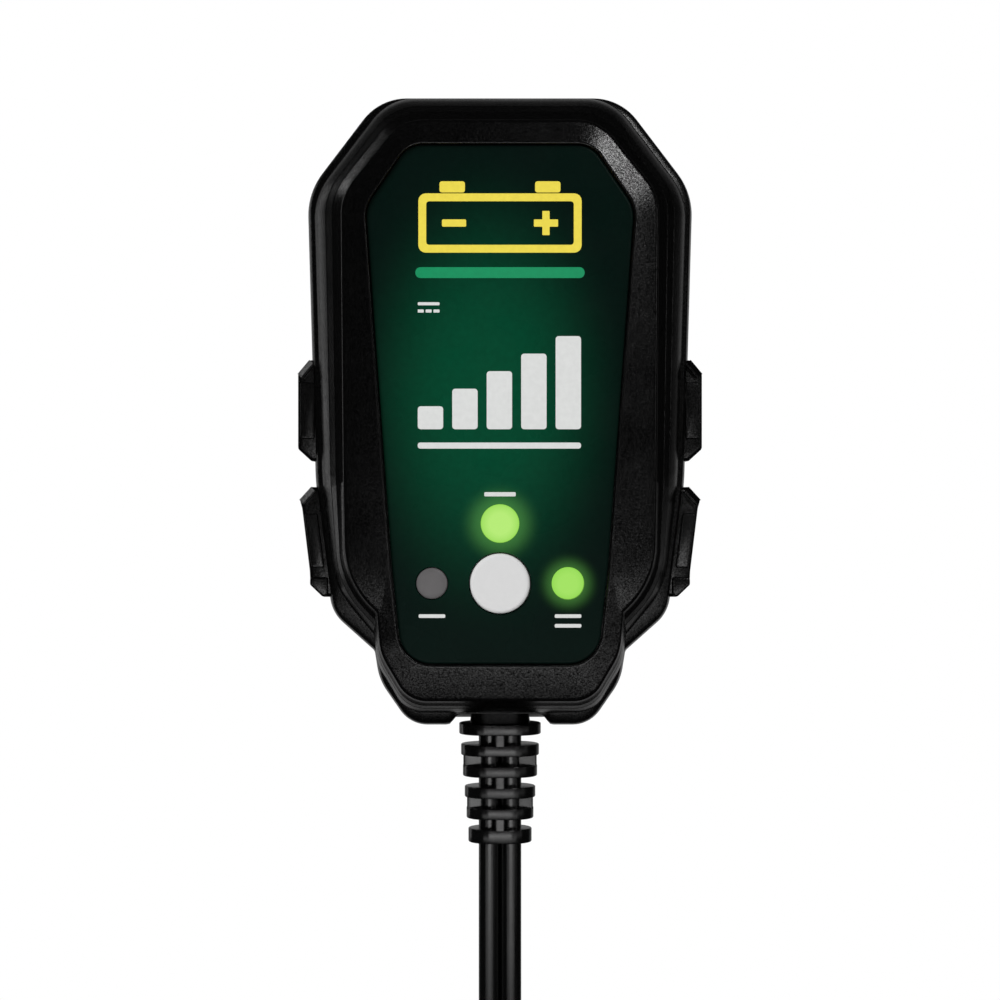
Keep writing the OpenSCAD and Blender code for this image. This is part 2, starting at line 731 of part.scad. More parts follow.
// Share of the way down a run, and the draw towards the waist there
function draw(s) = waist_in * pow(sin(180 * s), 2);
// Each turn: back run, bottom fold, front run and top fold, in sixths, thirds, sixths, thirds
function hank_point(t) = let (u = t - floor(t), r = turn_r(t))
    u < 1 / 6 ? [layer_x(t), hank_y + r - draw(u * 6), hank_top - run_len * u * 6]
    : u < 1 / 2 ? let (a = (u - 1 / 6) * 540)
        [layer_x(t), hank_y + r * cos(a), hank_top - run_len - r * sin(a)]
    : u < 2 / 3 ? [layer_x(t), hank_y - r + draw(u * 6 - 3), hank_top - run_len * (4 - u * 6)]
    : let (a = (u - 2 / 3) * 540) [layer_x(t), hank_y - r * cos(a), hank_top + r * sin(a)];
rings_per_turn = 24;
ring_count = round(turns * rings_per_turn);
tail_x = layer_step;
tail_y = hank_y + turn_r(turns);
hank_path = concat([[0, lead_y, hank_start]], [for (i = [0 : ring_count]) hank_point(i / rings_per_turn)],
    [for (k = [1 : 3]) [tail_x, tail_y, hank_top - run_len - k * tail_len / 3]]);
flat_section = [[lead_w / 2, 0], [lead_w / 4, lead_t / 2], [-lead_w / 4, lead_t / 2],
    [-lead_w / 2, 0], [-lead_w / 4, -lead_t / 2], [lead_w / 4, -lead_t / 2]];
// Length of the whole lead and the least gap between turns that lie beside each other
function path_len(p) = [for (i = 1, s = 0; i <= len(p); s = s + (i < len(p) ? norm(p[i] - p[i - 1]) : 0),
    i = i + 1) s][len(p) - 1];
// In one layer the gap is in the plane of the turns, less the thickness; across layers it is along X
function side_gap(a, b) = abs(a.x - b.x) > lead_w ? abs(a.x - b.x) - lead_w
    : norm([a.y - b.y, a.z - b.z]) - lead_t;
least_gap = min([for (i = [0 : ring_count - 12]) for (j = [i + 12 : ring_count + 1])
    side_gap(hank_path[i], hank_path[j])]);
echo(lead_length = path_len(hank_path) + path_len(route) + relief_top - relief_end, hank_gap = least_gap);
module lead_hank() {
    color("#202022") about_middle() sweep(hank_path, flat_section);
}
waist_z = hank_top - run_len / 2;
tie_gap = 0.3;
// The runs spread from the waist towards the tie's edges
waist_r = turn_r(0) - waist_in + lead_t / 2 + tie_gap + waist_in / run_len * tie_h;
tie_t = 1.4;
tie_r = 3;
module hank_tie() {
    color("#1a1a1c") about_middle() translate([layer_step / 2, hank_y, waist_z - tie_h / 2])
        linear_extrude(tie_h) difference() {
            tie_outline(tie_t);
            tie_outline(0);
        }
}
module tie_outline(grow) {
    x = (layer_step + lead_w) / 2 + tie_gap + grow;
    y = waist_r + grow;
    r = tie_r + grow;
    polygon(rounded([[-x, y, r], [x, y, r], [x, -y, r], [-x, -y, r]], 6));
}

// ---- connector ----
socket_r = contact_dia / 2 + 0.05;
socket_wall = 0.48;
socket_bore = pin_len + 0.5;
socket_len = socket_bore + 6;
sleeve_r = 3.6;
// The body's depth is a little more than the sleeve's, and its neck tapers over this length
body_deep = sleeve_r + 0.4;
body_half = contact_pitch / 2 + sleeve_r;
neck_len = 8;
shank_r = contact_dia / 2 - 0.4;
shank_len = 7;
// The pin's tip slopes over this length by this much
pin_tip = 1.2;
tip_slope = 0.9;
shoulder_end = plug_top - plug_len;
module at_plug() {
    about_middle() translate([tail_x, tail_y, 0]) children();
}
module connector_body() {
    color("#222225") at_plug() difference() {
        union() {
            hull() {
                rounded_bar(plug_top - 1, 1, lead_w / 2 + 1, lead_t / 2 + 1);
                rounded_bar(plug_top - neck_len - 1, 1, body_half, body_deep);
            }
            rounded_bar(shoulder_end, plug_len - neck_len, body_half, body_deep);
            translate([-contact_pitch / 2, 0, shoulder_end - pin_len])
                cylinder(r = sleeve_r, h = pin_len + 1);
        }
        translate([contact_pitch / 2, 0, shoulder_end - 1]) cylinder(r = shank_r + seat, h = shank_len + 2);
        translate([-contact_pitch / 2, 0, shoulder_end - pin_len - 1])
            cylinder(r = socket_r + socket_wall + seat, h = socket_len + 2.5);
    }
}
module connector_pin() {
    color("#d6c27a") at_plug() translate([contact_pitch / 2, 0, shoulder_end - pin_len]) {
        cylinder(r1 = contact_dia / 2 - tip_slope, r2 = contact_dia / 2, h = pin_tip + eps);
        translate([0, 0, pin_tip]) cylinder(r = contact_dia / 2, h = pin_len - pin_tip);
        translate([0, 0, pin_len - eps]) cylinder(r = shank_r, h = shank_len);
    }
}
module connector_socket() {
    color("#d6c27a") at_plug() translate([-contact_pitch / 2, 0, shoulder_end - pin_len + 1]) difference() {
        cylinder(r = socket_r + socket_wall, h = socket_len);
        translate([0, 0, -1]) cylinder(r = socket_r, h = socket_bore + 1);
    }
}

front_bezel();
rear_cover();
front_panel();
select_button();
charge_lens();
left_lens();
right_lens();
status_leds();
switch_body();
switch_plunger();
panel_board();
board_link();
main_board();
blade_left();
blade_right();
blade_carrier();
input_fuse();
input_choke();
bridge_rectifier();
input_capacitor();
safety_capacitor();
transformer_core();
transformer_bobbin();
transformer_winding();
power_transistor();
output_diode();
heat_sink();
output_capacitors();
optocoupler();
controller_chip();
output_wires();
housing_screws();
board_screws();
strain_relief();
lead_end();
lead_straight();
lead_hank();
hank_tie();
connector_body();
connector_pin();
connector_socket();
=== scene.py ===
"""Looks of the plug-in battery charger: textured housing, printed panel, lights, ribbed boot and lead."""
import math

import bmesh
import bpy
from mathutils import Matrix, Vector


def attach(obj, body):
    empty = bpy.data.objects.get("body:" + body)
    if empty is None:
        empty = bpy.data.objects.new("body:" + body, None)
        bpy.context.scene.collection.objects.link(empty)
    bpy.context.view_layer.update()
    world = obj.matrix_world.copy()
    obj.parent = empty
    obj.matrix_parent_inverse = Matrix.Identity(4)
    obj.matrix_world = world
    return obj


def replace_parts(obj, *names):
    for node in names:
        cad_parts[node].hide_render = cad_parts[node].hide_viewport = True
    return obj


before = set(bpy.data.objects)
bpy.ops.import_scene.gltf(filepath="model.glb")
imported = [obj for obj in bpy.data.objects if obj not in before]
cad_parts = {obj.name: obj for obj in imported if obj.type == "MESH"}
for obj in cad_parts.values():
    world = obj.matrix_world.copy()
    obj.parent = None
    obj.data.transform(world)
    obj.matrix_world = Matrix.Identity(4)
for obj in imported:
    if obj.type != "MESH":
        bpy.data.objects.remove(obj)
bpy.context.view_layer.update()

MM = 0.001
# Height of the mains blades above the shell's middle; outlines are written about that middle
RISE = 12.0


# ---------------------------------------------------------------- outlines
def unit(x, z):
    """The direction of a step in the plane of the front, one long."""
    size = math.hypot(x, z)
    return x / size, z / size


def whole(half):
    """The closed outline from its right half of (x, z, radius) corners, clockwise seen from the front."""
    return half + [(-x, z, r) for x, z, r in reversed(half)]


def normals(corners, i):
    """Inward normals of the two edges that meet at a corner, and its mitre."""
    a, b, c = corners[i - 1], corners[i], corners[(i + 1) % len(corners)]
    e = unit(b[0] - a[0], b[1] - a[1])
    f = unit(c[0] - b[0], c[1] - b[1])
    m = (e[1], -e[0])
    n = (f[1], -f[0])
    share = 1 + m[0] * n[0] + m[1] * n[1]
    return m, n, ((m[0] + n[0]) / share, (m[1] + n[1]) / share)


def inset(corners, t):
    """A closed corner list moved inwards by t."""
    out = []
    for i, (x, z, r) in enumerate(corners):
        m, n, mitre = normals(corners, i)
        convex = m[0] * n[1] - m[1] * n[0] < 0
        out.append((x + t * mitre[0], z + t * mitre[1], max(r - t, 0.3) if convex else r + t))
    return out


def rounded(corners, steps=10):
    """Points of a corner list with every corner turned into an arc."""
    points = []
    for i, (x, z, r) in enumerate(corners):
        m, n, mitre = normals(corners, i)
        cross = m[0] * n[1] - m[1] * n[0]
        side = 1 if cross < 0 else -1
        cx, cz = x + side * r * mitre[0], z + side * r * mitre[1]
        sweep = math.atan2(cross, m[0] * n[0] + m[1] * n[1])
        for k in range(steps + 1):
            a = sweep * k / steps
            px = m[0] * math.cos(a) - m[1] * math.sin(a)
            pz = m[0] * math.sin(a) + m[1] * math.cos(a)
            points.append((cx - side * r * px, cz - side * r * pz))
            if abs(sweep) < 1e-6:
                break
    return points


def blend_corners(a, b, share):
    """Corners part of the way from one list to another."""
    return [tuple(p + (q - p) * share for p, q in zip(u, v)) for u, v in zip(a, b)]


# Driving sizes in millimetres, as in the CAD source
SHELL_W, SHELL_H, SHELL_D = 66.4, 107.6, 42.0
WALL, BEZEL_D = 2.2, 9.2
TOP_FLAT, BOTTOM_FLAT, CORNER_DROP = 41.6, 31.0, 16.3
CROWN_R, CORNER_R = 11.0, 8.0
SHOULDER_RISE, SIDE_BEND, SIDE_TAPER = 19.3, 22.5, 4.2
NOSE_HALF, NOSE_DROP, NOSE_BEND = 21.7, 6.5, 5.0
PANEL_DROP, PANEL_LIFT, PANEL_W, PANEL_FLAT, PANEL_SLOPE = 10.2, 11.6, 44.4, 30.2, 10.3
PANEL_SINK, PANEL_T, PANEL_GAP, FLOOR_T = 0.8, 1.0, 0.15, 1.6
BUTTON_RISE, CHARGE_RISE, SIDE_PITCH = 24.9, 9.9, 11.25
# Clearances round the button and between pieces that only just clear each other
BUTTON_GAP, SLIP = 0.2, 0.1
BLADE_PITCH = 12.7

HALF_W, HALF_H = SHELL_W / 2, SHELL_H / 2
SHOULDER_Z = SHOULDER_RISE - HALF_H
NOSE_TOP = SHOULDER_Z - NOSE_DROP
BUTTON_Z = BUTTON_RISE - HALF_H
CHARGE_Z = BUTTON_Z + CHARGE_RISE
BUTTON_R, CHARGE_R, SIDE_R = 4.95, 3.1, 2.6
LIGHTS = [(0, CHARGE_Z, CHARGE_R), (-SIDE_PITCH, BUTTON_Z, SIDE_R), (SIDE_PITCH, BUTTON_Z, SIDE_R)]

# Corners of the shell's right half, top to bottom: x, z and radius
SHELL_HALF = [
    (TOP_FLAT / 2, HALF_H, CROWN_R - 1), (HALF_W, HALF_H - CORNER_DROP, CROWN_R + 1),
    (HALF_W - SIDE_TAPER / 3, SHOULDER_Z + SIDE_BEND, 40), (HALF_W - SIDE_TAPER, SHOULDER_Z, CORNER_R - 1),
    (NOSE_HALF, NOSE_TOP, 1), (NOSE_HALF - 0.8, NOSE_TOP - NOSE_BEND, 10),
    (BOTTOM_FLAT / 2, -HALF_H, CORNER_R - 2)]
# How far the bezel's rim and the front face stand in from the shell at each of them
RIM_IN = [(1.9, 1.1, 0.6), (1.8, 1.2, 0.6), (1.8, 0, 0.6), (1.1, -4.5, -8), (0.4, -3.2, 0.6),
          (0.3, -3, 0.6), (-0.3, -2.8, 0.6)]
FACE_IN = [(4.3, 5.9, 2.2), (6.8, 1.9, 2.6), (5.8, 0, 0.6), (3.3, -5.7, -8), (1.2, -7.3, 0.6),
           (1, -5.5, 0.6), (0.3, -5.3, 0.6)]
PANEL_TOP, PANEL_LOW = HALF_H - PANEL_DROP, PANEL_LIFT - HALF_H
PANEL_C = whole([(PANEL_FLAT / 2, PANEL_TOP, 4.5), (PANEL_W / 2, PANEL_TOP - PANEL_SLOPE, 6),
                 (PANEL_W / 2 - 4.3, PANEL_LOW + 16.1, 40), (PANEL_W / 2 - 6, PANEL_LOW, 5.5)])


def stand_in(half, by):
    """The right half of an outline that stands in from the shell's by its own step at each corner."""
    return [(x - dx, z - dz, r - dr) for (x, z, r), (dx, dz, dr) in zip(half, by)]


SHELL_C = whole(SHELL_HALF)
RIM_C = whole(stand_in(SHELL_HALF, RIM_IN))
FACE_C = whole(stand_in(SHELL_HALF, FACE_IN))


def at(depth):
    """Y of a depth behind the front face, in millimetres."""
    return depth - SHELL_D


Y_PANEL = at(PANEL_SINK)
Y_FLOOR = Y_PANEL + PANEL_T
Y_INNER = Y_FLOOR + FLOOR_T
Y_SEAM = at(BEZEL_D)


# ---------------------------------------------------------------- mesh building
class Build:
    """Collects loops of points in millimetres about the shell's middle and makes one object of them."""

    def __init__(self):
        self.bm = bmesh.new()

    def loop(self, points):
        return [self.bm.verts.new((x * MM, y * MM, (z - RISE) * MM)) for x, y, z in points]

    def bridge(self, a, b):
        n = len(a)
        for i in range(n):
            j = (i + 1) % n
            self.bm.faces.new((a[i], a[j], b[j], b[i]))

    def tube(self, loops):
        rows = [self.loop(p) for p in loops]
        for a, b in zip(rows, rows[1:]):
            self.bridge(a, b)
        return rows

    def cap(self, loop):
        self.bm.faces.new(loop)

    def fill(self, loops):
        """A flat region with holes, bounded by several loops."""
        edges = []
        for loop in loops:
            for i, v in enumerate(loop):
                w = loop[(i + 1) % len(loop)]
                edges.append(self.bm.edges.get((v, w)) or self.bm.edges.new((v, w)))
        bmesh.ops.triangle_fill(self.bm, use_beauty=True, use_dissolve=False, edges=edges)

    def closed(self, loops):
        """A tube with both its ends capped."""
        rows = self.tube(loops)
        self.cap(rows[0])
        self.cap(rows[-1])
        return rows

    def finish(self, name, sharp=35):
        """The object, smooth but for edges that turn by more than some degrees."""
        bmesh.ops.remove_doubles(self.bm, verts=self.bm.verts, dist=1e-7)
        bmesh.ops.recalc_face_normals(self.bm, faces=self.bm.faces)
        for face in self.bm.faces:
            face.smooth = True
        limit = math.radians(sharp)
        for edge in self.bm.edges:
            edge.smooth = len(edge.link_faces) == 2 and edge.calc_face_angle(math.pi) < limit
        mesh = bpy.data.meshes.new(name)
        self.bm.to_mesh(mesh)
        self.bm.free()
        obj = bpy.data.objects.new(name, mesh)
        bpy.context.scene.collection.objects.link(obj)
        return obj


def level(points, y):
    """Outline points placed at one depth."""
    return [(x, y, z) for x, z in points]


def ring(x, z, r, y, count=64):
    """A circle that faces the front."""
    turn = 2 * math.pi / count
    return [(x + r * math.cos(i * turn), y, z + r * math.sin(i * turn)) for i in range(count)]


def slab_loops(corners, y0, y1, edge, steps=6, arc=3):
    """Loops of a plate between two depths, with its outer edges rounded."""
    turns = [math.pi / 2 * k / arc for k in range(arc + 1)]
    front = [(edge * (1 - math.sin(a)), y0 + edge * (1 - math.cos(a))) for a in turns]
    back = [(edge * (1 - math.cos(a)), y1 - edge * (1 - math.sin(a))) for a in turns]
    return [level(rounded(inset(corners, t), steps), y) for t, y in front + back]


# ---------------------------------------------------------------- materials
def shader(name):
    """A new material with its Principled shader and node tools."""
    mat = bpy.data.materials.new(name)
    mat.use_nodes = True
    nodes = mat.node_tree.nodes
    return mat, nodes, mat.node_tree.links, nodes["Principled BSDF"]


def noise(nodes, links, coords, scale, detail=2.0, rough=0.5):
    """Noise over the object's own coordinates; scale is in features a metre."""
    tex = nodes.new("ShaderNodeTexNoise")
    tex.inputs["Scale"].default_value = scale
    tex.inputs["Detail"].default_value = detail
    tex.inputs["Roughness"].default_value = rough
    links.new(coords, tex.inputs["Vector"])
    return tex.outputs["Fac"]


def spread(nodes, links, fac, low, high):
    """A factor's middle range stretched to run from low to high."""
    node = nodes.new("ShaderNodeMapRange")
    node.inputs["From Min"].default_value = 0.3
    node.inputs["From Max"].default_value = 0.7
    node.inputs["To Min"].default_value = low
    node.inputs["To Max"].default_value = high
    links.new(fac, node.inputs["Value"])
    return node.outputs["Result"]


def tones(nodes, links, fac, dark, light):
    """Two colours mixed by a factor."""
    node = nodes.new("ShaderNodeMix")
    node.data_type = "RGBA"
    node.inputs["A"].default_value = (*dark, 1)
    node.inputs["B"].default_value = (*light, 1)
    links.new(fac, node.inputs["Factor"])
    return node.outputs["Result"]


def scaled(nodes, links, value, scale):
    """A value times a number."""
    node = nodes.new("ShaderNodeMath")
    node.operation = "MULTIPLY"
    links.new(value, node.inputs[0])
    node.inputs[1].default_value = scale
    return node.outputs[0]


def bump(nodes, links, height, distance):
    """A bump of a real depth in metres."""
    node = nodes.new("ShaderNodeBump")
    node.inputs["Distance"].default_value = distance
    node.inputs["Strength"].default_value = 1
    links.new(height, node.inputs["Height"])
    return node.outputs["Normal"]


# Features a metre of the broad wear in a moulded material, and how far its roughness strays
BROAD_SCALE, ROUGH_STRAY = 90, 0.05


def moulded(name, colour, rough, grain, depth, vary=0.25, sheen=0.5, metal=0.0, glint=0.0):
    """Moulded plastic, rubber or metal: size and depth of its grain in metres, and how its tone varies.

    Glint makes single grains more or less shiny, as a share of the sheen."""
    mat, nodes, links, bsdf = shader(name)
    coords = nodes.new("ShaderNodeTexCoord").outputs["Object"]
    fine = noise(nodes, links, coords, 1 / grain, 3)
    broad = noise(nodes, links, coords, BROAD_SCALE, 3, 0.6)
    dark = [c * (1 - vary) for c in colour]
    light = [min(1, c * (1 + vary)) for c in colour]
    links.new(tones(nodes, links, spread(nodes, links, fine, 0, 1), dark, light), bsdf.inputs["Base Color"])
    links.new(spread(nodes, links, broad, max(0.03, rough - ROUGH_STRAY), min(1, rough + ROUGH_STRAY)),
              bsdf.inputs["Roughness"])
    bsdf.inputs["Metallic"].default_value = metal
    bsdf.inputs["Specular IOR Level"].default_value = sheen
    if glint:
        links.new(spread(nodes, links, fine, sheen * (1 - glint), sheen * (1 + glint)),
                  bsdf.inputs["Specular IOR Level"])
    links.new(bump(nodes, links, fine, depth), bsdf.inputs["Normal"])
    return mat


def lit(name, colour, edge, strength):
    """A lit window: bright in the middle and a little deeper at its rim, around the piece's own centre."""
    mat, nodes, links, bsdf = shader(name)
    coords = nodes.new("ShaderNodeTexCoord").outputs["Generated"]
    from_middle = nodes.new("ShaderNodeVectorMath")
    from_middle.operation = "DISTANCE"
    links.new(coords, from_middle.inputs[0])
    from_middle.inputs[1].default_value = (0.5, 0.0, 0.5)
    ramp = nodes.new("ShaderNodeMapRange")
    ramp.inputs["From Min"].default_value = 0.22
    ramp.inputs["From Max"].default_value = 0.46
    links.new(from_middle.outputs["Value"], ramp.inputs["Value"])
    glow = tones(nodes, links, ramp.outputs["Result"], colour, edge)
    bsdf.inputs["Base Color"].default_value = (0.02, 0.03, 0.01, 1)
    bsdf.inputs["Roughness"].default_value = 0.35
    bsdf.inputs["Specular IOR Level"].default_value = 0.2
    links.new(glow, bsdf.inputs["Emission Color"])
    bsdf.inputs["Emission Strength"].default_value = strength
    return mat


BEZEL = moulded("bezel_texture", (0.0014, 0.0014, 0.0015), 0.22, 0.00028, 0.00002, vary=0.6, glint=0.95)
SHELL = moulded("shell_texture", (0.0014, 0.0014, 0.0015), 0.26, 0.00028, 0.000012, vary=0.5, glint=0.7)
GRIP = moulded("grip_texture", (0.002, 0.002, 0.0021), 0.22, 0.0003, 0.000012, vary=0.7, glint=0.9)
BOOT = moulded("boot_rubber", (0.002, 0.002, 0.0021), 0.22, 0.0011, 0.000008, vary=0.15, sheen=0.85)
LEAD = moulded("lead_jacket", (0.0016, 0.0016, 0.0017), 0.22, 0.0014, 0.000006, vary=0.15, sheen=0.95)
TIE = moulded("tie_rubber", (0.013, 0.013, 0.014), 0.6, 0.0006, 0.00003)
PLUG = moulded("connector_rubber", (0.013, 0.013, 0.014), 0.42, 0.0007, 0.00002, vary=0.2)
WHITE_CAP = moulded("button_white", (0.7, 0.7, 0.7), 0.34, 0.0012, 0.000003, vary=0.012, sheen=0.3)
CONTACT = moulded("contact_metal", (0.78, 0.66, 0.4), 0.24, 0.0003, 0.000002, vary=0.1, metal=1.0)
BLADE = moulded("blade_nickel", (0.72, 0.69, 0.62), 0.26, 0.00025, 0.000002, vary=0.08, metal=1.0)
STEEL = moulded("screw_zinc", (0.62, 0.63, 0.65), 0.3, 0.0003, 0.000003, vary=0.1, metal=1.0)
BLACK_PART = moulded("black_component", (0.02, 0.02, 0.02), 0.45, 0.0005, 0.00001)
BROWN_PART = moulded("brown_component", (0.22, 0.12, 0.06), 0.4, 0.0006, 0.00001)
WHITE_PART = moulded("white_component", (0.75, 0.74, 0.7), 0.45, 0.0006, 0.00001, vary=0.06)
BOARD = moulded("solder_mask", (0.03, 0.16, 0.06), 0.3, 0.0008, 0.00001, vary=0.2)
FERRITE = moulded("ferrite", (0.05, 0.05, 0.055), 0.6, 0.0004, 0.00002)
SLEEVE = moulded("capacitor_sleeve", (0.02, 0.035, 0.11), 0.25, 0.0008, 0.000005, vary=0.1)
DIPPED = moulded("capacitor_dipped", (0.03, 0.13, 0.42), 0.3, 0.001, 0.00002, vary=0.12)
BOBBIN = moulded("bobbin_plastic", (0.62, 0.55, 0.4), 0.5, 0.0007, 0.00001, vary=0.08)
COPPER = moulded("enamelled_copper", (0.72, 0.3, 0.11), 0.25, 0.0003, 0.00004, vary=0.25, metal=1.0)
SINK = moulded("heat_sink_metal", (0.68, 0.69, 0.71), 0.35, 0.0003, 0.000003, vary=0.08, metal=1.0)
WIRE = moulded("wire_insulation", (0.4, 0.03, 0.02), 0.35, 0.0008, 0.000005, vary=0.1)
CLEAR = moulded("led_body", (0.7, 0.76, 0.66), 0.2, 0.0008, 0.000003, vary=0.05)
PRINT = moulded("print_white", (0.72, 0.73, 0.72), 0.4, 0.0009, 0.000002, vary=0.03, sheen=0.35)
YELLOW = moulded("print_yellow", (0.86, 0.71, 0.07), 0.4, 0.0009, 0.000002, vary=0.04, sheen=0.35)
GREEN = moulded("print_green", (0.0, 0.29, 0.11), 0.4, 0.0009, 0.000002, vary=0.04, sheen=0.35)
LIT = lit("light_green", (0.49, 0.88, 0.19), (0.33, 0.74, 0.1), 0.92)
LIT_SIDE = lit("light_green_side", (0.38, 0.8, 0.125), (0.3, 0.72, 0.09), 0.92)
UNLIT = moulded("light_grey", (0.115, 0.11, 0.112), 0.35, 0.0012, 0.000004, vary=0.05)


# ---------------------------------------------------------------- camera, light and stage
def aim(obj, place, target):
    """Puts an object somewhere and turns it to look at a point."""
    obj.location = place
    obj.rotation_euler = (Vector(target) - Vector(place)).to_track_quat("-Z", "Y").to_euler()
    bpy.context.scene.collection.objects.link(obj)


# The focal length in picture widths, the camera's distance from the back of the shell, and its height
LENS_WIDTHS, CAMERA_Y, CAMERA_Z = 2.2, -0.405, -0.0271
camera_data = bpy.data.cameras.new("camera")
camera_data.sensor_width = 36
camera_data.lens = camera_data.sensor_width * LENS_WIDTHS
camera = bpy.data.objects.new("camera", camera_data)
aim(camera, (0, CAMERA_Y, CAMERA_Z), (0, 0, CAMERA_Z))
bpy.context.scene.camera = camera


def area(name, place, target, width, height, power, glossy=True, diffuse=True):
    """A soft box; it can be kept out of the gloss, or show only there."""
    light = bpy.data.lights.new(name, "AREA")
    light.shape = "RECTANGLE"
    light.size = width
    light.size_y = height
    light.energy = power
    box = bpy.data.objects.new(name, light)
    box.visible_glossy = glossy
    box.visible_diffuse = diffuse
    aim(box, place, target)


# The main light from the left, which the gloss doesn't show
area("key", (-0.5, -0.62, 0.5), (0, -0.02, -0.02), 0.4, 0.4, 4.0, glossy=False)
# Highlight on the upper right of the ring
area("window", (0.22, -0.6, 0.28), (0.02, -0.04, 0.03), 0.085, 0.085, 0.34)
# Highlights on the strain relief, the lead and the lower ring
area("low", (0.02, -0.6, -0.15), (0, -0.04, -0.07), 0.28, 0.055, 0.15, diffuse=False)
area("lowest", (0.0, -0.6, -0.215), (0, -0.04, -0.1), 0.8, 0.06, 0.14, diffuse=False)
area("low_right", (0.5, -0.6, -0.15), (0, -0.04, -0.07), 0.66, 0.055, 0.055, diffuse=False)
# Thin lines along the edges, and the light that fades down the right of the ring
area("left", (-0.085, -0.6, -0.015), (-0.03, -0.03, -0.015), 0.045, 0.13, 0.01, diffuse=False)
area("edge", (0.53, -0.34, 0.08), (0.03, -0.03, 0.01), 0.05, 0.2, 0.06, diffuse=False)
area("beside", (0.2, -0.6, 0.15), (0.03, -0.03, 0.02), 0.06, 0.08, 0.055, diffuse=False)
# The left side and the crown, from behind
area("side", (-0.46, 0.3, 0.05), (-0.03, -0.03, -0.02), 0.1, 0.5, 0.11)
area("crown", (-0.42, 0.02, 0.3), (-0.034, -0.03, -0.01), 0.12, 0.12, 0.12)

world = bpy.data.worlds.new("studio")
world.use_nodes = True
bpy.context.scene.world = world
wn, wl = world.node_tree.nodes, world.node_tree.links
path = wn.new("ShaderNodeLightPath")


def world_math(operation, a, b):
    """A maths node of the world; each input is a socket or a number."""
    node = wn.new("ShaderNodeMath")
    node.operation = operation
    for k, value in enumerate((a, b)):
        if isinstance(value, (int, float)):
            node.inputs[k].default_value = value
        else:
            wl.new(value, node.inputs[k])
    return node.outputs[0]


# White where it is seen; in reflections pale behind the object and dim on the viewer's side, as in a studio
heading = wn.new("ShaderNodeSeparateXYZ")
wl.new(wn.new("ShaderNodeTexCoord").outputs["Generated"], heading.inputs[0])
behind = wn.new("ShaderNodeMapRange")
behind.interpolation_type = "SMOOTHSTEP"
for socket, value in (("From Min", 0.5), ("From Max", 1.0), ("To Min", 0.01), ("To Max", 0.32)):
    behind.inputs[socket].default_value = value
wl.new(heading.outputs["Y"], behind.inputs["Value"])
seen = world_math("MAXIMUM", path.outputs["Is Camera Ray"], path.outputs["Is Transmission Ray"])
mirrored = world_math("MULTIPLY", path.outputs["Is Glossy Ray"], behind.outputs["Result"])
even = world_math("MULTIPLY", path.outputs["Is Diffuse Ray"], 0.6)
strength = world_math("MAXIMUM", world_math("MAXIMUM", seen, mirrored), even)
wl.new(strength, wn["Background"].inputs["Strength"])
wn["Background"].inputs["Color"].default_value = (1, 1, 1, 1)

bpy.context.scene.view_settings.view_transform = "Standard"

floor_mat, fn, flk, floor_bsdf = shader("floor_paper")
floor_coords = fn.new("ShaderNodeTexCoord").outputs["Object"]
floor_tone = tones(fn, flk, noise(fn, flk, floor_coords, 40, 2), (0.84, 0.84, 0.84), (0.87, 0.87, 0.87))
flk.new(floor_tone, floor_bsdf.inputs["Base Color"])
floor_bsdf.inputs["Roughness"].default_value = 0.9
floor_build = Build()
FLOOR_Z, FLOOR_HALF = -370 + RISE, 900
floor_build.cap(floor_build.loop([(x * FLOOR_HALF, y * FLOOR_HALF, FLOOR_Z)
                                  for x, y in ((-1, -1), (1, -1), (1, 1), (-1, 1))]))
floor = floor_build.finish("floor")
floor.data.materials.append(floor_mat)
floor.visible_glossy = False


# ---------------------------------------------------------------- the lead
LEAD_W, LEAD_T, LEAD_Y = 7.4, 3.7, -22.0
FLANGES, FLANGE_PITCH, FLANGE_T, LAST_EXTRA = 6, 3.65, 1.9, 0.5
RELIEF_TOP = -HALF_H
RELIEF_END = RELIEF_TOP - (FLANGES - 1) * FLANGE_PITCH - FLANGE_T - LAST_EXTRA
HANK_TOP, RUN_LEN, FOLD_R, TURN_STEP, LAYER_STEP, WAIST_IN = -146.0, 112.0, 22.4, 4.7, 8.1, 14.0
HANK_START = HANK_TOP + LEAD_W
TURNS, TURN_BACK = 4 + 1 / 6, 2 + 1 / 12
HANK_Y = LEAD_Y - FOLD_R - TURN_STEP * TURN_BACK
TAIL_LEN = 40.0
PLUG_TOP = HANK_TOP - RUN_LEN - TAIL_LEN
TAIL_X = LAYER_STEP


def turn_r(t):
    """Radius of the folds at a turn of the hank."""
    return FOLD_R + TURN_STEP * abs(TURN_BACK - t)


def drawn_in(share):
    """How far the tie draws a run in, part of the way along it."""
    return WAIST_IN * math.sin(math.pi * share) ** 2


def hank_point(t):
    """Back run, bottom fold, front run and top fold of each turn, in millimetres."""
    u, r = t - math.floor(t), turn_r(t)
    x = LAYER_STEP * min(max((t - TURN_BACK) * 6 + 0.5, 0), 1)
    if u < 1 / 6:
        return x, HANK_Y + r - drawn_in(u * 6), HANK_TOP - RUN_LEN * u * 6
    if u < 1 / 2:
        a = (u - 1 / 6) * 3 * math.pi
        return x, HANK_Y + r * math.cos(a), HANK_TOP - RUN_LEN - r * math.sin(a)
    if u < 2 / 3:
        return x, HANK_Y - r + drawn_in(u * 6 - 3), HANK_TOP - RUN_LEN * (4 - u * 6)
    a = (u - 2 / 3) * 3 * math.pi
    return x, HANK_Y - r * math.cos(a), HANK_TOP + r * math.sin(a)


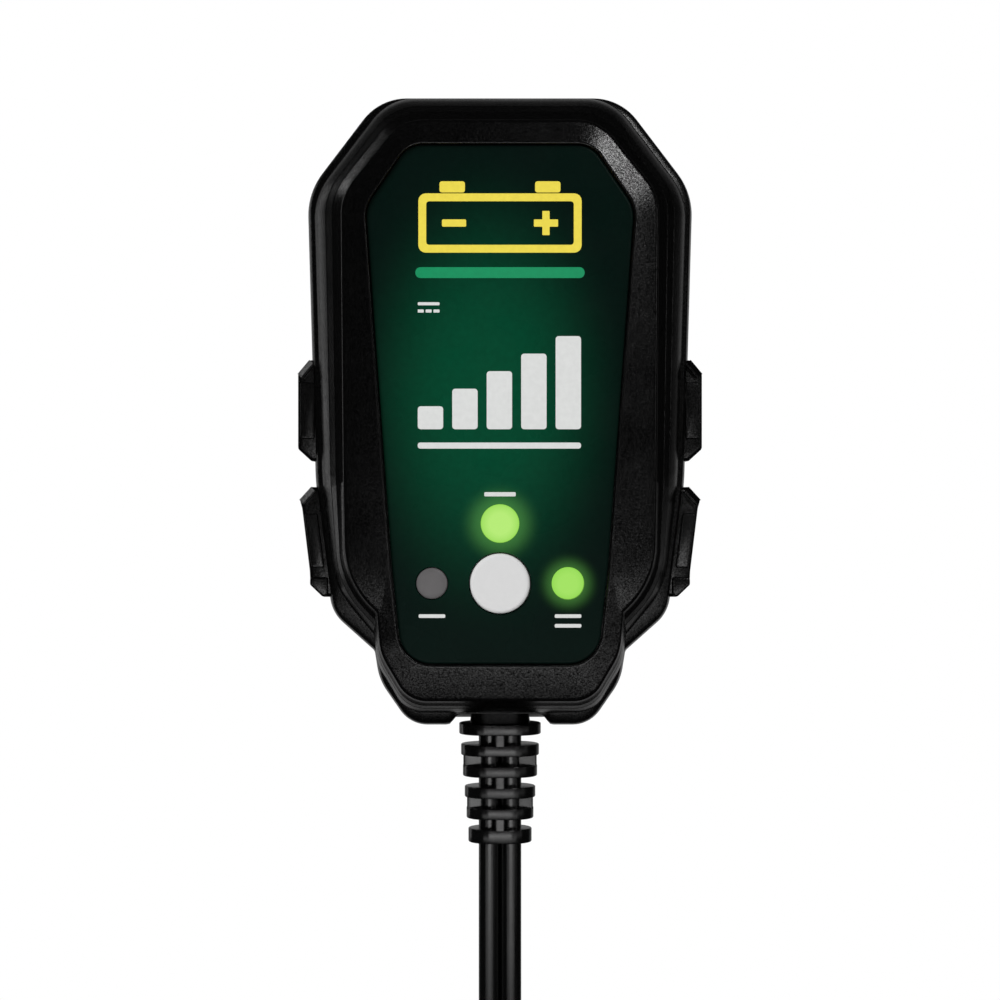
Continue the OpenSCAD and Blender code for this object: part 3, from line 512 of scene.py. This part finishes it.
TAIL_Y = HANK_Y + turn_r(TURNS)
RINGS = 72
lead_path = [(0, LEAD_Y, z) for z in (RELIEF_END, -78, -85, -92, -100, -108, -115, -122, -130, HANK_START,
                                      HANK_TOP + 3)]
lead_path += [hank_point(i / RINGS) for i in range(round(TURNS * RINGS) + 1)]
lead_path += [(TAIL_X, TAIL_Y, HANK_TOP - RUN_LEN - k * TAIL_LEN / 6) for k in range(1, 7)]


# How near the middle line each core's arc comes, as a share of its radius; half the height of the web between
# the cores; and how round a core is, where 1 is a circle
CORE_STOP, WEB_HALF, CORE_POWER = 0.3, 0.3, 0.8


def lead_section(count=14):
    """Two round cores side by side with a narrow groove between them, as (across, up)."""
    r = LEAD_T / 2
    start = math.pi - math.asin(CORE_STOP)
    points = []
    for side in (1, -1):
        for k in range(count + 1):
            a = -start + 2 * start * k / count
            up = math.copysign(abs(math.sin(a)) ** CORE_POWER, math.sin(a))
            points.append((side * (r + r * math.cos(a)), side * r * up))
        points.append((0, side * WEB_HALF))
    return points


def sweep_loops(points, section):
    """The section stood square to each point of a path, its width along X."""
    loops = []
    for i, p in enumerate(points):
        before, after = Vector(points[max(i - 1, 0)]), Vector(points[min(i + 1, len(points) - 1)])
        along = (after - before).normalized()
        across = (Vector((1, 0, 0)) - along.x * along).normalized()
        up = across.cross(along)
        loops.append([tuple(Vector(p) + s * across + t * up) for s, t in section])
    return loops


def finish_piece(build, name, material, body="housing", sharp=35):
    """Makes the object, gives it its material, and lets it ride on its body."""
    piece = build.finish(name, sharp)
    piece.data.materials.append(material)
    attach(piece, body)
    return piece


lead_build = Build()
lead_build.closed(sweep_loops(lead_path, lead_section()))
lead = finish_piece(lead_build, "lead", LEAD, sharp=50)
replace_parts(lead, "lead_straight", "lead_hank")


def flat_loop(points, z):
    """Points (x, y) placed at one height."""
    return [(x, y, z) for x, y in points]


def stadium(half, deep, cx=0.0, cy=0.0, steps=12):
    """A rectangle with round ends, in plan: half its width and half its depth."""
    points = []
    for side in (1, -1):
        for k in range(steps + 1):
            a = -math.pi / 2 + math.pi * k / steps
            points.append((cx + side * (half - deep + deep * math.cos(a)), cy + side * deep * math.sin(a)))
    return points


# Rubber tie round the waist of the hank
TIE_H, TIE_T, TIE_R = 7.0, 1.4, 3
WAIST_Z = HANK_TOP - RUN_LEN / 2
TIE_IN = 0.3
TIE_X = (LAYER_STEP + LEAD_W) / 2 + TIE_IN
TIE_Y = turn_r(0) - WAIST_IN + LEAD_T / 2 + TIE_IN + WAIST_IN / RUN_LEN * TIE_H
# Upper half of its profile, with a groove: out from its inside, up from its middle
TIE_HALF = [(0, 3.2), (0.3, 3.5), (1.1, 3.5), (1.4, 3.2), (1.4, 1.5), (1.15, 1.3), (1.15, 1.0), (1.4, 0.8)]
TIE_PROFILE = TIE_HALF + [(out, -up) for out, up in reversed(TIE_HALF)]
tie_corners = [(-TIE_X, TIE_Y, TIE_R), (TIE_X, TIE_Y, TIE_R), (TIE_X, -TIE_Y, TIE_R), (-TIE_X, -TIE_Y, TIE_R)]
tie_build = Build()
tie_rows = tie_build.tube([[(LAYER_STEP / 2 + x, HANK_Y + y, WAIST_Z + up) for x, y in
                            rounded(inset(tie_corners, -out), 8)] for out, up in TIE_PROFILE])
tie_build.bridge(tie_rows[-1], tie_rows[0])
# Its head, and the end of the strap that stands out of it
TIE_FRONT = HANK_Y - TIE_Y - TIE_T
for left, right, half_up, r, front, back, edge in ((-4.2, 4.2, 4.6, 0.9, -1.9, 0.4, 0.5),
                                                   (2, 7.6, 2.4, 1.6, -1.3, -0.2, 0.3)):
    corners = [(LAYER_STEP / 2 + x, WAIST_Z + z, r)
               for x, z in ((left, half_up), (right, half_up), (right, -half_up), (left, -half_up))]
    tie_build.closed(slab_loops(corners, TIE_FRONT + front, TIE_FRONT + back, edge, 4))
tie = finish_piece(tie_build, "tie", TIE)
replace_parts(tie, "hank_tie")

# Two-pole connector: (height below its top, half width, half depth) with a ribbed neck and finger grooves
PITCH, PLUG_LEN = 8.4, 24.0
SHOULDER_END = PLUG_TOP - PLUG_LEN
BODY_HALF, BODY_DEEP = PITCH / 2 + 3.6, 4.0
# One rib of the neck and one finger groove: (down, further out, further deep) from its own start
RIBS, RIB_TOP, RIB_PITCH = 3, 1.2, 2.3
RIB = ((0, 0, 0), (0.15, -0.6, -0.45), (0.85, -0.55, -0.42), (1.0, 0.25, 0.1), (1.15, 0.38, 0.16))
GROOVES, GROOVE_TOP, GROOVE_PITCH = 4, 11.6, 2.2
GROOVE = ((0, 0, 0), (0.25, -0.12, -0.16), (0.6, -0.3, -0.42), (0.95, -0.12, -0.16), (1.2, 0, 0))
plug_steps = [(0, 4.3, 2.45), (0.12, 4.55, 2.7), (0.45, 4.7, 2.85)]
for k in range(RIBS):
    wide, deep = 4.9 + 0.75 * k, 2.95 + 0.28 * k
    plug_steps += [(RIB_TOP + RIB_PITCH * k + down, wide + out, deep + on) for down, out, on in RIB]
plug_steps += [(8.2, BODY_HALF - 0.5, BODY_DEEP - 0.3), (8.9, BODY_HALF - 0.08, BODY_DEEP - 0.03),
               (9.6, BODY_HALF, BODY_DEEP)]
for k in range(GROOVES):
    plug_steps += [(GROOVE_TOP + GROOVE_PITCH * k + down, BODY_HALF + out, BODY_DEEP + on)
                   for down, out, on in GROOVE]
plug_steps += [(PLUG_LEN - up, BODY_HALF - by, BODY_DEEP - by)
               for up, by in ((0.9, 0), (0.25, 0.22), (0, 0.8))]
plug_build = Build()
plug_build.closed([flat_loop(stadium(w, d, TAIL_X, TAIL_Y), PLUG_TOP - down) for down, w, d in plug_steps])
# Sleeve round the socket, open at its end: (radius, up from the body's end)
SLEEVE_STEPS = [(3.6, 1.0), (3.6, -10.8), (3.5, -11.5), (3.2, -11.9), (2.75, -12.0), (2.55, -11.7),
                (2.55, 8.8)]
sleeve_rows = plug_build.tube([flat_loop(stadium(r, r, TAIL_X - PITCH / 2, TAIL_Y, 20), SHOULDER_END + up)
                               for r, up in SLEEVE_STEPS])
plug_build.bridge(sleeve_rows[-1], sleeve_rows[0])
plug = finish_piece(plug_build, "lead_connector", PLUG, sharp=40)
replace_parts(plug, "connector_body")

# ---------------------------------------------------------------- strain relief
inner_build = Build()
inner_build.closed(sweep_loops([(0, LEAD_Y, z) for z in (RELIEF_TOP + 5, RELIEF_TOP, -60, -66, RELIEF_END)],
                               lead_section()))
inner = finish_piece(inner_build, "lead_inside", LEAD, sharp=50)
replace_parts(inner, "lead_end")

FLANGE_HALF, FLANGE_STEP, FLANGE_DEEP = 7.1, 0.32, 4.6
FLANGE_EDGE = 0.16
# Steps of a flange's rounded edge: (in from its side, in from its face)
EDGE_STEPS = [(FLANGE_EDGE * (1 - math.sin(a)), FLANGE_EDGE * (1 - math.cos(a)))
              for a in (0, 0.4, 0.8, 1.2, math.pi / 2)]


def flange_plan(k):
    """Half the width and half the depth of a flange, which grow smaller down the boot."""
    return FLANGE_HALF - k * FLANGE_STEP, FLANGE_DEEP - k * FLANGE_STEP / 2


relief = Build()
for k in range(FLANGES):
    wide, deep = flange_plan(k)
    top = RELIEF_TOP - k * FLANGE_PITCH
    low = top - (FLANGE_T + (LAST_EXTRA if k == FLANGES - 1 else 0))
    plan = [(s, top - d) for s, d in EDGE_STEPS] + [(s, low + d) for s, d in reversed(EDGE_STEPS)]
    relief.closed([flat_loop(stadium(wide - s, deep - s, 0, LEAD_Y), z) for s, z in plan])


# Bars between the flanges, in front and behind or on the sides: half widths, edge and how far they sink in
FRONT_BAR_HALF, SIDE_BAR_HALF, BAR_EDGE, BAR_SINK = 0.85, 1.6, 0.25, 0.3


def upright(xs, ys, z0, z1):
    """A bar with rounded upright edges between two flanges."""
    (x0, x1), (y0, y1) = sorted(xs), sorted(ys)
    outline = rounded([(x0, y1, BAR_EDGE), (x1, y1, BAR_EDGE), (x1, y0, BAR_EDGE), (x0, y0, BAR_EDGE)], 4)
    relief.closed([flat_loop(outline, z1), flat_loop(outline, z0)])


for k in range(FLANGES - 1):
    z1 = RELIEF_TOP - k * FLANGE_PITCH - FLANGE_T + BAR_SINK
    z0 = RELIEF_TOP - (k + 1) * FLANGE_PITCH - BAR_SINK
    half, deep = flange_plan(k + 1)
    for s in (-1, 1):
        if k % 2 == 0:
            upright((-FRONT_BAR_HALF, FRONT_BAR_HALF), (LEAD_Y + s * LEAD_T * 0.3, LEAD_Y + s * deep), z0, z1)
        else:
            upright((s * (LEAD_W / 2 - 0.6), s * (half - 0.1)),
                    (LEAD_Y - SIDE_BAR_HALF, LEAD_Y + SIDE_BAR_HALF), z0, z1)
# Neck through the shell's wall: up from the shell's bottom, half width and half depth
relief.closed([flat_loop(stadium(half, deep, 0, LEAD_Y), RELIEF_TOP + up)
               for up, half, deep in ((-0.3, 5.3, 2.9), (4.5, 4.6, 1.9))])
boot = finish_piece(relief, "lead_boot", BOOT)
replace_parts(boot, "strain_relief")

# ---------------------------------------------------------------- housing
# Screws in the back: distance in from the shell's sides, down from its top and up from its shoulders
POST_IN, POST_DROP, POST_LIFT = 9.7, 20, 12.5
POST_X, LOW_POST_X = HALF_W - POST_IN, HALF_W - POST_IN - 1
POSTS = [(-POST_X, HALF_H - POST_DROP), (POST_X, HALF_H - POST_DROP),
         (-LOW_POST_X, SHOULDER_Z + POST_LIFT), (LOW_POST_X, SHOULDER_Z + POST_LIFT)]
HOLES = [(0, BUTTON_Z, BUTTON_R + BUTTON_GAP)] + [(x, z, r + SLIP) for x, z, r in LIGHTS]


def rim(share, step=0.0):
    """An outline between the front face (0) and the bezel's rim (1), moved inwards by a step."""
    return inset(blend_corners(FACE_C, RIM_C, share), step) if step else blend_corners(FACE_C, RIM_C, share)


# The front face falls away towards its edge, so that each side of it catches its own light
EDGE_DROP, EDGE_R = 0.68, 0.7
# A narrow strip inside the rounded edge, on the same slope, holds the shading of the face
STRIP_W, STRIP_RISE = 0.3, 0.055


def fillet(corners, steps=5):
    """Loops that round the face's outline at its front edge."""
    loops = [level(rounded(inset(corners, EDGE_R + STRIP_W)), at(EDGE_DROP - STRIP_RISE))]
    for k in range(steps + 1):
        a = math.pi / 2 * k / steps
        points = rounded(inset(corners, EDGE_R * (1 - math.sin(a))))
        loops.append(level(points, at(EDGE_DROP + EDGE_R * (1 - math.cos(a)))))
    return loops


# The wall and its two fine grooves: depth, then how far it has come from the face's outline to the rim's,
# and how far a groove is cut in
bezel = Build()
outer = bezel.tube(fillet(FACE_C) + [level(rounded(c), at(d)) for d, c in (
    (2.1, rim(0.14)), (2.75, rim(0.29)), (2.85, rim(0.3, 0.1)), (2.95, rim(0.33)),
    (4.3, rim(0.545)), (4.4, rim(0.55, 0.1)), (4.5, rim(0.58)),
    (6.0, rim(0.79)), (7.4, rim(0.93)), (8.5, rim(1.0)), (8.95, rim(1.0, 0.12)), (BEZEL_D, rim(1.0, 0.45)))])
inner_rows = bezel.tube([level(rounded(c), y) for y, c in (
    (Y_SEAM, inset(RIM_C, WALL)), (at(5.6), rim(0.8, WALL)), (Y_INNER, inset(FACE_C, 1.4)))])
bezel.bridge(outer[-1], inner_rows[0])
# Recess for the panel, with a rounded lip: (in from the recess, depth)
RECESS = inset(PANEL_C, -PANEL_GAP)
lip = [(-0.45, 0.03), (-0.2, 0), (-0.08, 0.04), (0, 0.14), (0, PANEL_SINK + PANEL_T)]
recess = bezel.tube([level(rounded(inset(RECESS, t)), at(d)) for t, d in lip])
bezel.fill([outer[0], recess[0]])
floor_rings, back_rings = [], []
for x, z, r in HOLES:
    rows = bezel.tube([ring(x, z, r, Y_FLOOR), ring(x, z, r, Y_INNER)])
    floor_rings.append(rows[0])
    back_rings.append(rows[1])
bezel.fill([recess[-1]] + floor_rings)
bezel.fill([inner_rows[-1]] + back_rings)
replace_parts(finish_piece(bezel, "bezel", BEZEL, sharp=28), "front_bezel")


# Hollow in the bottom round the boot's neck: it fades out between these distances from the middle and these
# depths, and lifts what lies below BOTTOM_Z up to HOLLOW_Z
FADE_X, FADE_Y, BOTTOM_Z, HOLLOW_Z = (6.6, 8.9), (-17.5, -12.5), -48, -51.25
# How much the inside of the shell is lifted there, in front of INSIDE_Y
INSIDE_LIFT, INSIDE_Y = 3, -12
HOLLOW_XS = (9.2, 8.6, 8, 7.3, 6.5, 5, 2.5)


def with_bottom(corners):
    """The outline with extra points along its bottom edge, where the boot's hollow is."""
    half = len(corners) // 2
    low = corners[half - 1][1]
    xs = [*HOLLOW_XS, 0, *(-x for x in reversed(HOLLOW_XS))]
    return corners[:half] + [(x, low, 0.01) for x in xs] + corners[half:]


def smooth_step(value, low, high):
    """0 below the low value and 1 above the high one, with a smooth way between."""
    t = min(max((value - low) / (high - low), 0), 1)
    return t * t * (3 - 2 * t)


def hollowed(points):
    """Lifts the bottom edge round the boot's neck, so that the boot stands in a shallow hollow."""
    out = []
    for x, y, z in points:
        share = (1 - smooth_step(abs(x), *FADE_X)) * (1 - smooth_step(y, *FADE_Y))
        out.append((x, y, z + share * max(HOLLOW_Z - z, 0) if z < BOTTOM_Z else z))
    return out


def lifted(points):
    """Lifts the bottom of the shell's inside clear of the hollow."""
    return [(x, y, z + INSIDE_LIFT if z < BOTTOM_Z and y < INSIDE_Y else z) for x, y, z in points]


# The back's rounded edge: its width and depth, and where the flat back begins
BACK_EDGE, BACK_DEPTH, BACK_IN = 2.6, 4.6, 3.0
rear = Build()
SHELL_B, RIM_B = with_bottom(SHELL_C), with_bottom(RIM_C)
# A step behind the seam, then the side, with a loop at each depth that the hollow needs
outer = [level(rounded(inset(c, t)), y) for y, c, t in (
    (Y_SEAM, RIM_B, 0.7), (Y_SEAM + 0.12, SHELL_B, 1.6), (Y_SEAM + 0.3, SHELL_B, 1.15),
    (Y_SEAM + 0.6, SHELL_B, 0.9), (Y_SEAM + 1.1, SHELL_B, 0.75), (Y_SEAM + 4, SHELL_B, 0.3),
    (Y_SEAM + 9, SHELL_B, 0), (-20, SHELL_B, 0), (-17.5, SHELL_B, 0), (-16, SHELL_B, 0), (-14.5, SHELL_B, 0),
    (-12.5, SHELL_B, 0), (-10, SHELL_B, 0))]
for k in range(10):
    a = math.pi / 2 * k / 9
    points = rounded(inset(SHELL_B, BACK_EDGE * (1 - math.cos(a))))
    outer.append(level(points, -BACK_DEPTH * (1 - math.sin(a))))
outer.append(level(rounded(inset(SHELL_B, BACK_IN)), 0))
outer = rear.tube([hollowed(loop) for loop in outer])
inner_rows = rear.tube([lifted(level(rounded(inset(c, t)), y)) for y, c, t in (
    (Y_SEAM, RIM_B, WALL), (Y_SEAM + 9, SHELL_B, WALL), (-6, SHELL_B, WALL), (-WALL, SHELL_B, WALL + 1.4))])
rear.bridge(outer[0], inner_rows[0])
rear.cap(inner_rows[-1])

# In the back: counterbores for the screws as (radius, y), slots for the blades and a recess for a label
COUNTERBORE = ((3.35, 0), (3.1, -0.08), (3.0, -0.3), (3.0, -4.95))
SLOT_HALF_W, SLOT_HALF_H = 0.95, 3.4
LABEL_HALF, LABEL_TOP, LABEL_LOW, LABEL_R = 18, -16, -42, 2.0
back_rings = []
for x, z in POSTS:
    rows = rear.tube([ring(x, z, r, y, 40) for r, y in COUNTERBORE])
    rear.cap(rows[-1])
    back_rings.append(rows[0])
for side in (-1, 1):
    slot_c = [(side * BLADE_PITCH / 2 + x * SLOT_HALF_W, RISE + z * SLOT_HALF_H, 0.2)
              for x, z in ((-1, 1), (1, 1), (1, -1), (-1, -1))]
    rows = rear.tube([level(rounded(inset(slot_c, t), 3), y) for t, y in ((-0.2, 0), (0, -0.2), (0, -1.2))])
    rear.cap(rows[-1])
    back_rings.append(rows[0])
label_c = [(x, z, LABEL_R) for x, z in ((-LABEL_HALF, LABEL_TOP), (LABEL_HALF, LABEL_TOP),
                                        (LABEL_HALF, LABEL_LOW), (-LABEL_HALF, LABEL_LOW))]
rows = rear.tube([level(rounded(inset(label_c, t), 6), y)
                  for t, y in ((-0.15, 0), (0, -0.08), (0.1, -0.3), (0.4, -0.3))])
rear.cap(rows[-1])
back_rings.append(rows[0])
rear.fill([outer[-1]] + back_rings)
cover = finish_piece(rear, "back_cover", SHELL, sharp=28)

# Finger grips on both sides, as outlines of (x out from the shell's side, z, radius)
UPPER_GRIP = [(-4, 8.7, 0.4), (-0.8, 8.7, 0.5), (1.2, 6.3, 0.8), (1.2, -6.4, 0.8), (-1.1, -8.5, 0.5),
              (-4, -8.5, 0.4)]
LOWER_GRIP = [(-4, -12.9, 0.4), (-1.1, -12.9, 0.5), (0.9, -15.1, 0.8), (0.5, -16.5, 2), (-0.8, -27.2, 1.5),
              (-0.9, -29.5, 0.8), (-3.1, -31.6, 0.5), (-5.4, -31.6, 0.4), (-5.4, -24, 0.4)]
# Textured pads that stand a little proud of their fronts
UPPER_PAD = [(-1.9, 4.9, 0.3), (0.75, 4.9, 0.4), (0.75, -4.7, 0.4), (-1.7, -4.7, 0.3)]
LOWER_PAD = [(-2.2, -17.4, 0.3), (0.1, -17.4, 0.4), (-1.15, -26.6, 0.4), (-3.4, -26.6, 0.3)]
# The lower end of the lower grip, which stands further forward
LOWER_END = [(-4, -28.2, 0.4), (-0.9, -28.2, 0.5), (-0.9, -29.5, 0.6), (-3.1, -31.6, 0.5), (-4, -31.2, 0.4)]
# Slanted tops of the grips: the two ends of each, as (x out from the shell's side, z)
GRIP_TOPS = (((-0.8, 8.7), (1.2, 6.3)), ((-1.1, -12.9), (0.9, -15.1)))


def both_sides(build, profile, start, end, edge):
    """A slab on each side of the shell, from its outline and its distances behind the seam."""
    right = [(HALF_W + x, z, r) for x, z, r in profile]
    left = [(-x, z, r) for x, z, r in reversed(right)]
    for corners in (right, left):
        build.closed(slab_loops(corners, Y_SEAM + start, Y_SEAM + end, edge, 6, 4))


grips, pads = Build(), Build()
for profile in (UPPER_GRIP, LOWER_GRIP):
    both_sides(grips, profile, 1.9, 21, 0.7)
# Ledges along the slanted tops stand further forward, with a bevel: (out from the slant, y)
LEDGE = Y_SEAM + 1.0
LEDGE_SECTION = [(0.05, LEDGE + 8), (0.05, LEDGE + 0.9), (-0.85, LEDGE), (-1.2, LEDGE), (-1.3, LEDGE + 0.1),
                 (-1.3, LEDGE + 8)]
for a, b in GRIP_TOPS:
    along = math.dist(a, b)
    out_x, out_z = (a[1] - b[1]) / along, (b[0] - a[0]) / along
    for side in (-1, 1):
        grips.closed([[(side * (HALF_W + x + out_x * out), y, z + out_z * out) for out, y in LEDGE_SECTION]
                      for x, z in (a, b)])
both_sides(grips, LOWER_END, 1.5, 12, 0.35)
for profile in (UPPER_PAD, LOWER_PAD):
    both_sides(pads, profile, 1.6, 8, 0.25)
grip_piece = finish_piece(grips, "grips", SHELL, sharp=40)
pad_piece = finish_piece(pads, "grip_pads", GRIP, sharp=40)
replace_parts(pad_piece, "rear_cover")
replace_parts(cover, "rear_cover")
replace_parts(grip_piece, "rear_cover")

# ---------------------------------------------------------------- panel, lights and button
panel = Build()
face = panel.tube([level(rounded(inset(PANEL_C, t)), y) for t, y in (
    (0.5, Y_PANEL), (0.18, Y_PANEL), (0.06, Y_PANEL + 0.05), (0, Y_PANEL + 0.18), (0, Y_FLOOR))])
front_rings, back_rings = [], []
for x, z, r in HOLES:
    rows = panel.tube([ring(x, z, r + 0.08, Y_PANEL), ring(x, z, r, Y_PANEL + 0.08), ring(x, z, r, Y_FLOOR)])
    front_rings.append(rows[0])
    back_rings.append(rows[-1])
panel.fill([face[0]] + front_rings)
panel.fill([face[-1]] + back_rings)


def panel_material():
    """Dark green print, lighter in the middle and nearly black at the ends, with a painted glow beside the
    lit lights.
    """
    mat, nodes, links, bsdf = shader("panel_print")
    coords = nodes.new("ShaderNodeTexCoord").outputs["Object"]

    def spot(x, z, sx, sz, near, far):
        """1 at a place, falling smoothly to 0 between two shares of an oval with these half widths."""
        mapping = nodes.new("ShaderNodeMapping")
        mapping.vector_type = "POINT"
        mapping.inputs["Scale"].default_value = (1 / (sx * MM), 0, 1 / (sz * MM))
        mapping.inputs["Location"].default_value = (-x / sx, 0, -(z - RISE) / sz)
        links.new(coords, mapping.inputs["Vector"])
        size = nodes.new("ShaderNodeVectorMath")
        size.operation = "LENGTH"
        links.new(mapping.outputs["Vector"], size.inputs[0])
        fall = nodes.new("ShaderNodeMapRange")
        fall.interpolation_type = "SMOOTHERSTEP"
        fall.inputs["From Min"].default_value = near
        fall.inputs["From Max"].default_value = far
        fall.inputs["To Min"].default_value = 1
        fall.inputs["To Max"].default_value = 0
        links.new(size.outputs["Value"], fall.inputs["Value"])
        return fall.outputs["Result"]

    grain = noise(nodes, links, coords, 900, 2)
    middle = spot(-2.4, 2, 26, 44, 0.1, 1.0)
    colour = tones(nodes, links, middle, (0.0016, 0.0075, 0.0055), (0.0008, 0.062, 0.027))
    speck = nodes.new("ShaderNodeMix")
    speck.data_type = "RGBA"
    speck.blend_type = "MULTIPLY"
    speck.inputs["Factor"].default_value = 0.35
    links.new(colour, speck.inputs["A"])
    links.new(spread(nodes, links, grain, 0.75, 1.1), speck.inputs["B"])
    links.new(speck.outputs["Result"], bsdf.inputs["Base Color"])
    links.new(spread(nodes, links, noise(nodes, links, coords, 120, 3), 0.24, 0.34), bsdf.inputs["Roughness"])
    bsdf.inputs["Specular IOR Level"].default_value = 0.06
    links.new(bump(nodes, links, noise(nodes, links, coords, 400, 2), 0.000004), bsdf.inputs["Normal"])
    # Painted glow: emission in the print round the charge light and the right light stands in for their light
    # falling on the panel
    glow = nodes.new("ShaderNodeMath")
    glow.operation = "MAXIMUM"
    links.new(spot(0, CHARGE_Z, 10, 10, 0.22, 0.85), glow.inputs[0])
    links.new(spot(SIDE_PITCH, BUTTON_Z, 8, 8, 0.22, 0.8), glow.inputs[1])
    power = nodes.new("ShaderNodeMath")
    power.operation = "POWER"
    links.new(glow.outputs[0], power.inputs[0])
    power.inputs[1].default_value = 2.0
    bsdf.inputs["Emission Color"].default_value = (0.1, 0.34, 0.06, 1)
    links.new(scaled(nodes, links, power.outputs[0], 0.4), bsdf.inputs["Emission Strength"])
    return mat


PANEL = panel_material()
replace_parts(finish_piece(panel, "panel", PANEL, sharp=28), "front_panel")


def turned(name, x, z, profile, material, body="housing", count=64):
    """A round piece along Y from (radius, y) steps; its two ends are capped."""
    build = Build()
    rows = build.tube([ring(x, z, r, y, count) for r, y in profile])
    build.cap(rows[0])
    build.cap(rows[-1])
    return finish_piece(build, name, material, body, sharp=40)


# How far the windows and the button stand out of the panel, and the collar that keeps each of them in
LENS_RISE, BUTTON_OUT, COLLAR = 0.12, 0.7, 0.8
Y_LENS, Y_CAP = Y_PANEL - LENS_RISE, Y_PANEL - BUTTON_OUT
for name, node, (x, z, r), material, slot in (("light_charge", "charge_lens", LIGHTS[0], LIT, "light_on"),
                                              ("light_left", "left_lens", LIGHTS[1], UNLIT, "light_off"),
                                              ("light_right", "right_lens", LIGHTS[2], LIT_SIDE, "light_on")):
    dome = [(r * 0.25, Y_LENS), (r * 0.6, Y_LENS + 0.02), (r - 0.3, Y_LENS + 0.07), (r - 0.12, Y_LENS + 0.14),
            (r - 0.03, Y_LENS + 0.26), (r, Y_LENS + 0.42), (r, Y_INNER), (r + COLLAR, Y_INNER),
            (r + COLLAR, Y_INNER + COLLAR)]
    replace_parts(turned(name, x, z, dome, material), node)

cap = [(BUTTON_R - 0.75, Y_CAP), (BUTTON_R - 0.5, Y_CAP), (BUTTON_R - 0.28, Y_CAP + 0.06),
       (BUTTON_R - 0.1, Y_CAP + 0.2), (BUTTON_R, Y_CAP + 0.48), (BUTTON_R, Y_INNER + 0.1),
       (BUTTON_R + COLLAR, Y_INNER + 0.1), (BUTTON_R + COLLAR, Y_INNER + 1.2)]
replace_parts(turned("button", 0, BUTTON_Z, cap, WHITE_CAP, body="button", count=96),
            "select_button")


# Plain generic marks printed on the panel: how far they stand out of it, and how far they sink in
PRINT_RISE, PRINT_SINK = 0.03, 0.05


def print_loops(corners):
    """The front and the back loop of a mark."""
    return [level(rounded(corners, 4), y) for y in (Y_PANEL - PRINT_RISE, Y_PANEL + PRINT_SINK)]


def print_slabs(name, shapes, material):
    """Thin raised print: each shape is a closed clockwise corner list."""
    build = Build()
    for corners in shapes:
        build.closed(print_loops(corners))
    return finish_piece(build, name, material, sharp=30)


def plate(x0, x1, z0, z1, r=0.3):
    """A clockwise rectangle with rounded corners."""
    return [(x0, z1, r), (x1, z1, r), (x1, z0, r), (x0, z0, r)]


def frame_mark(build, outer, inner):
    """A printed frame: the region between two outlines, with its thickness."""
    rows = [build.tube(print_loops(c)) for c in (outer, inner)]
    for end in (0, 1):
        build.fill([rows[0][end], rows[1][end]])


def cross_mark(x, z, arm, half, r=0.12):
    """A plus sign's outline, clockwise."""
    corners = [(-half, arm), (half, arm), (half, half), (arm, half), (arm, -half), (half, -half),
               (half, -arm), (-half, -arm), (-half, -half), (-arm, -half), (-arm, half), (-half, half)]
    return [(x + u, z + v, r) for u, v in corners]


# Yellow battery outline over a green bar
battery = Build()
frame_mark(battery, plate(-13.5, 13.5, 25.8, 35.6, 1.2), plate(-12.2, 12.2, 27.1, 34.3, 0.5))
print_slabs("marks_battery", [plate(-10, -5.8, 35.75, 37.6, 0.4), plate(5.8, 10, 35.75, 37.6, 0.4),
                              plate(-9.6, -5.6, 30.1, 31.3, 0.2), cross_mark(7.6, 30.7, 2, 0.6)], YELLOW)
finish_piece(battery, "marks_yellow", YELLOW, sharp=30)
print_slabs("marks_green", [plate(-14, 14, 21.6, 23.4, 0.85)], GREEN)
# White charge-level steps, a flat line over dashes for direct current, and small bars by the lights
white = [plate(-13.6 + 5.7 * k, -9.4 + 5.7 * k, -3.4, 0.4 + 2.9 * k, 0.5) for k in range(5)]
white += [plate(-13.6, 13.4, -6.6, -5.6, 0.4)]
white += [plate(-13.6, -10.0, 17.1, 17.6, 0.15)]
white += [plate(-13.6 + 1.3 * k, -12.6 + 1.3 * k, 15.9, 16.4, 0.1) for k in range(3)]
white += [plate(-2.6, 2.6, -14.5, -13.8, 0.2)]
white += [plate(side * SIDE_PITCH - 2.2, side * SIDE_PITCH + 2.2, -34.6, -34.0, 0.2) for side in (-1, 1)]
white += [plate(SIDE_PITCH - 2.2, SIDE_PITCH + 2.2, -36.2, -35.6, 0.2)]
print_slabs("marks_white", white, PRINT)

# ---------------------------------------------------------------- CAD nodes that keep their shape
KEPT = {
    "switch_body": BLACK_PART, "switch_plunger": BROWN_PART, "panel_board": BOARD, "board_link": BLACK_PART,
    "main_board": BOARD, "blade_left": BLADE, "blade_right": BLADE, "blade_carrier": BLACK_PART,
    "input_fuse": BROWN_PART, "input_choke": FERRITE, "bridge_rectifier": BLACK_PART,
    "input_capacitor": SLEEVE, "safety_capacitor": DIPPED, "transformer_core": FERRITE,
    "transformer_bobbin": BOBBIN,
    "transformer_winding": COPPER, "power_transistor": BLACK_PART, "output_diode": BLACK_PART,
    "heat_sink": SINK, "output_capacitors": SLEEVE, "optocoupler": WHITE_PART, "controller_chip": BLACK_PART,
    "output_wires": WIRE, "housing_screws": STEEL, "board_screws": STEEL, "status_leds": CLEAR,
    "connector_pin": CONTACT, "connector_socket": CONTACT}
for node, material in KEPT.items():
    node_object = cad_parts[node]
    for place in node_object.material_slots:
        place.material = material
    if not node_object.material_slots:
        node_object.data.materials.append(material)
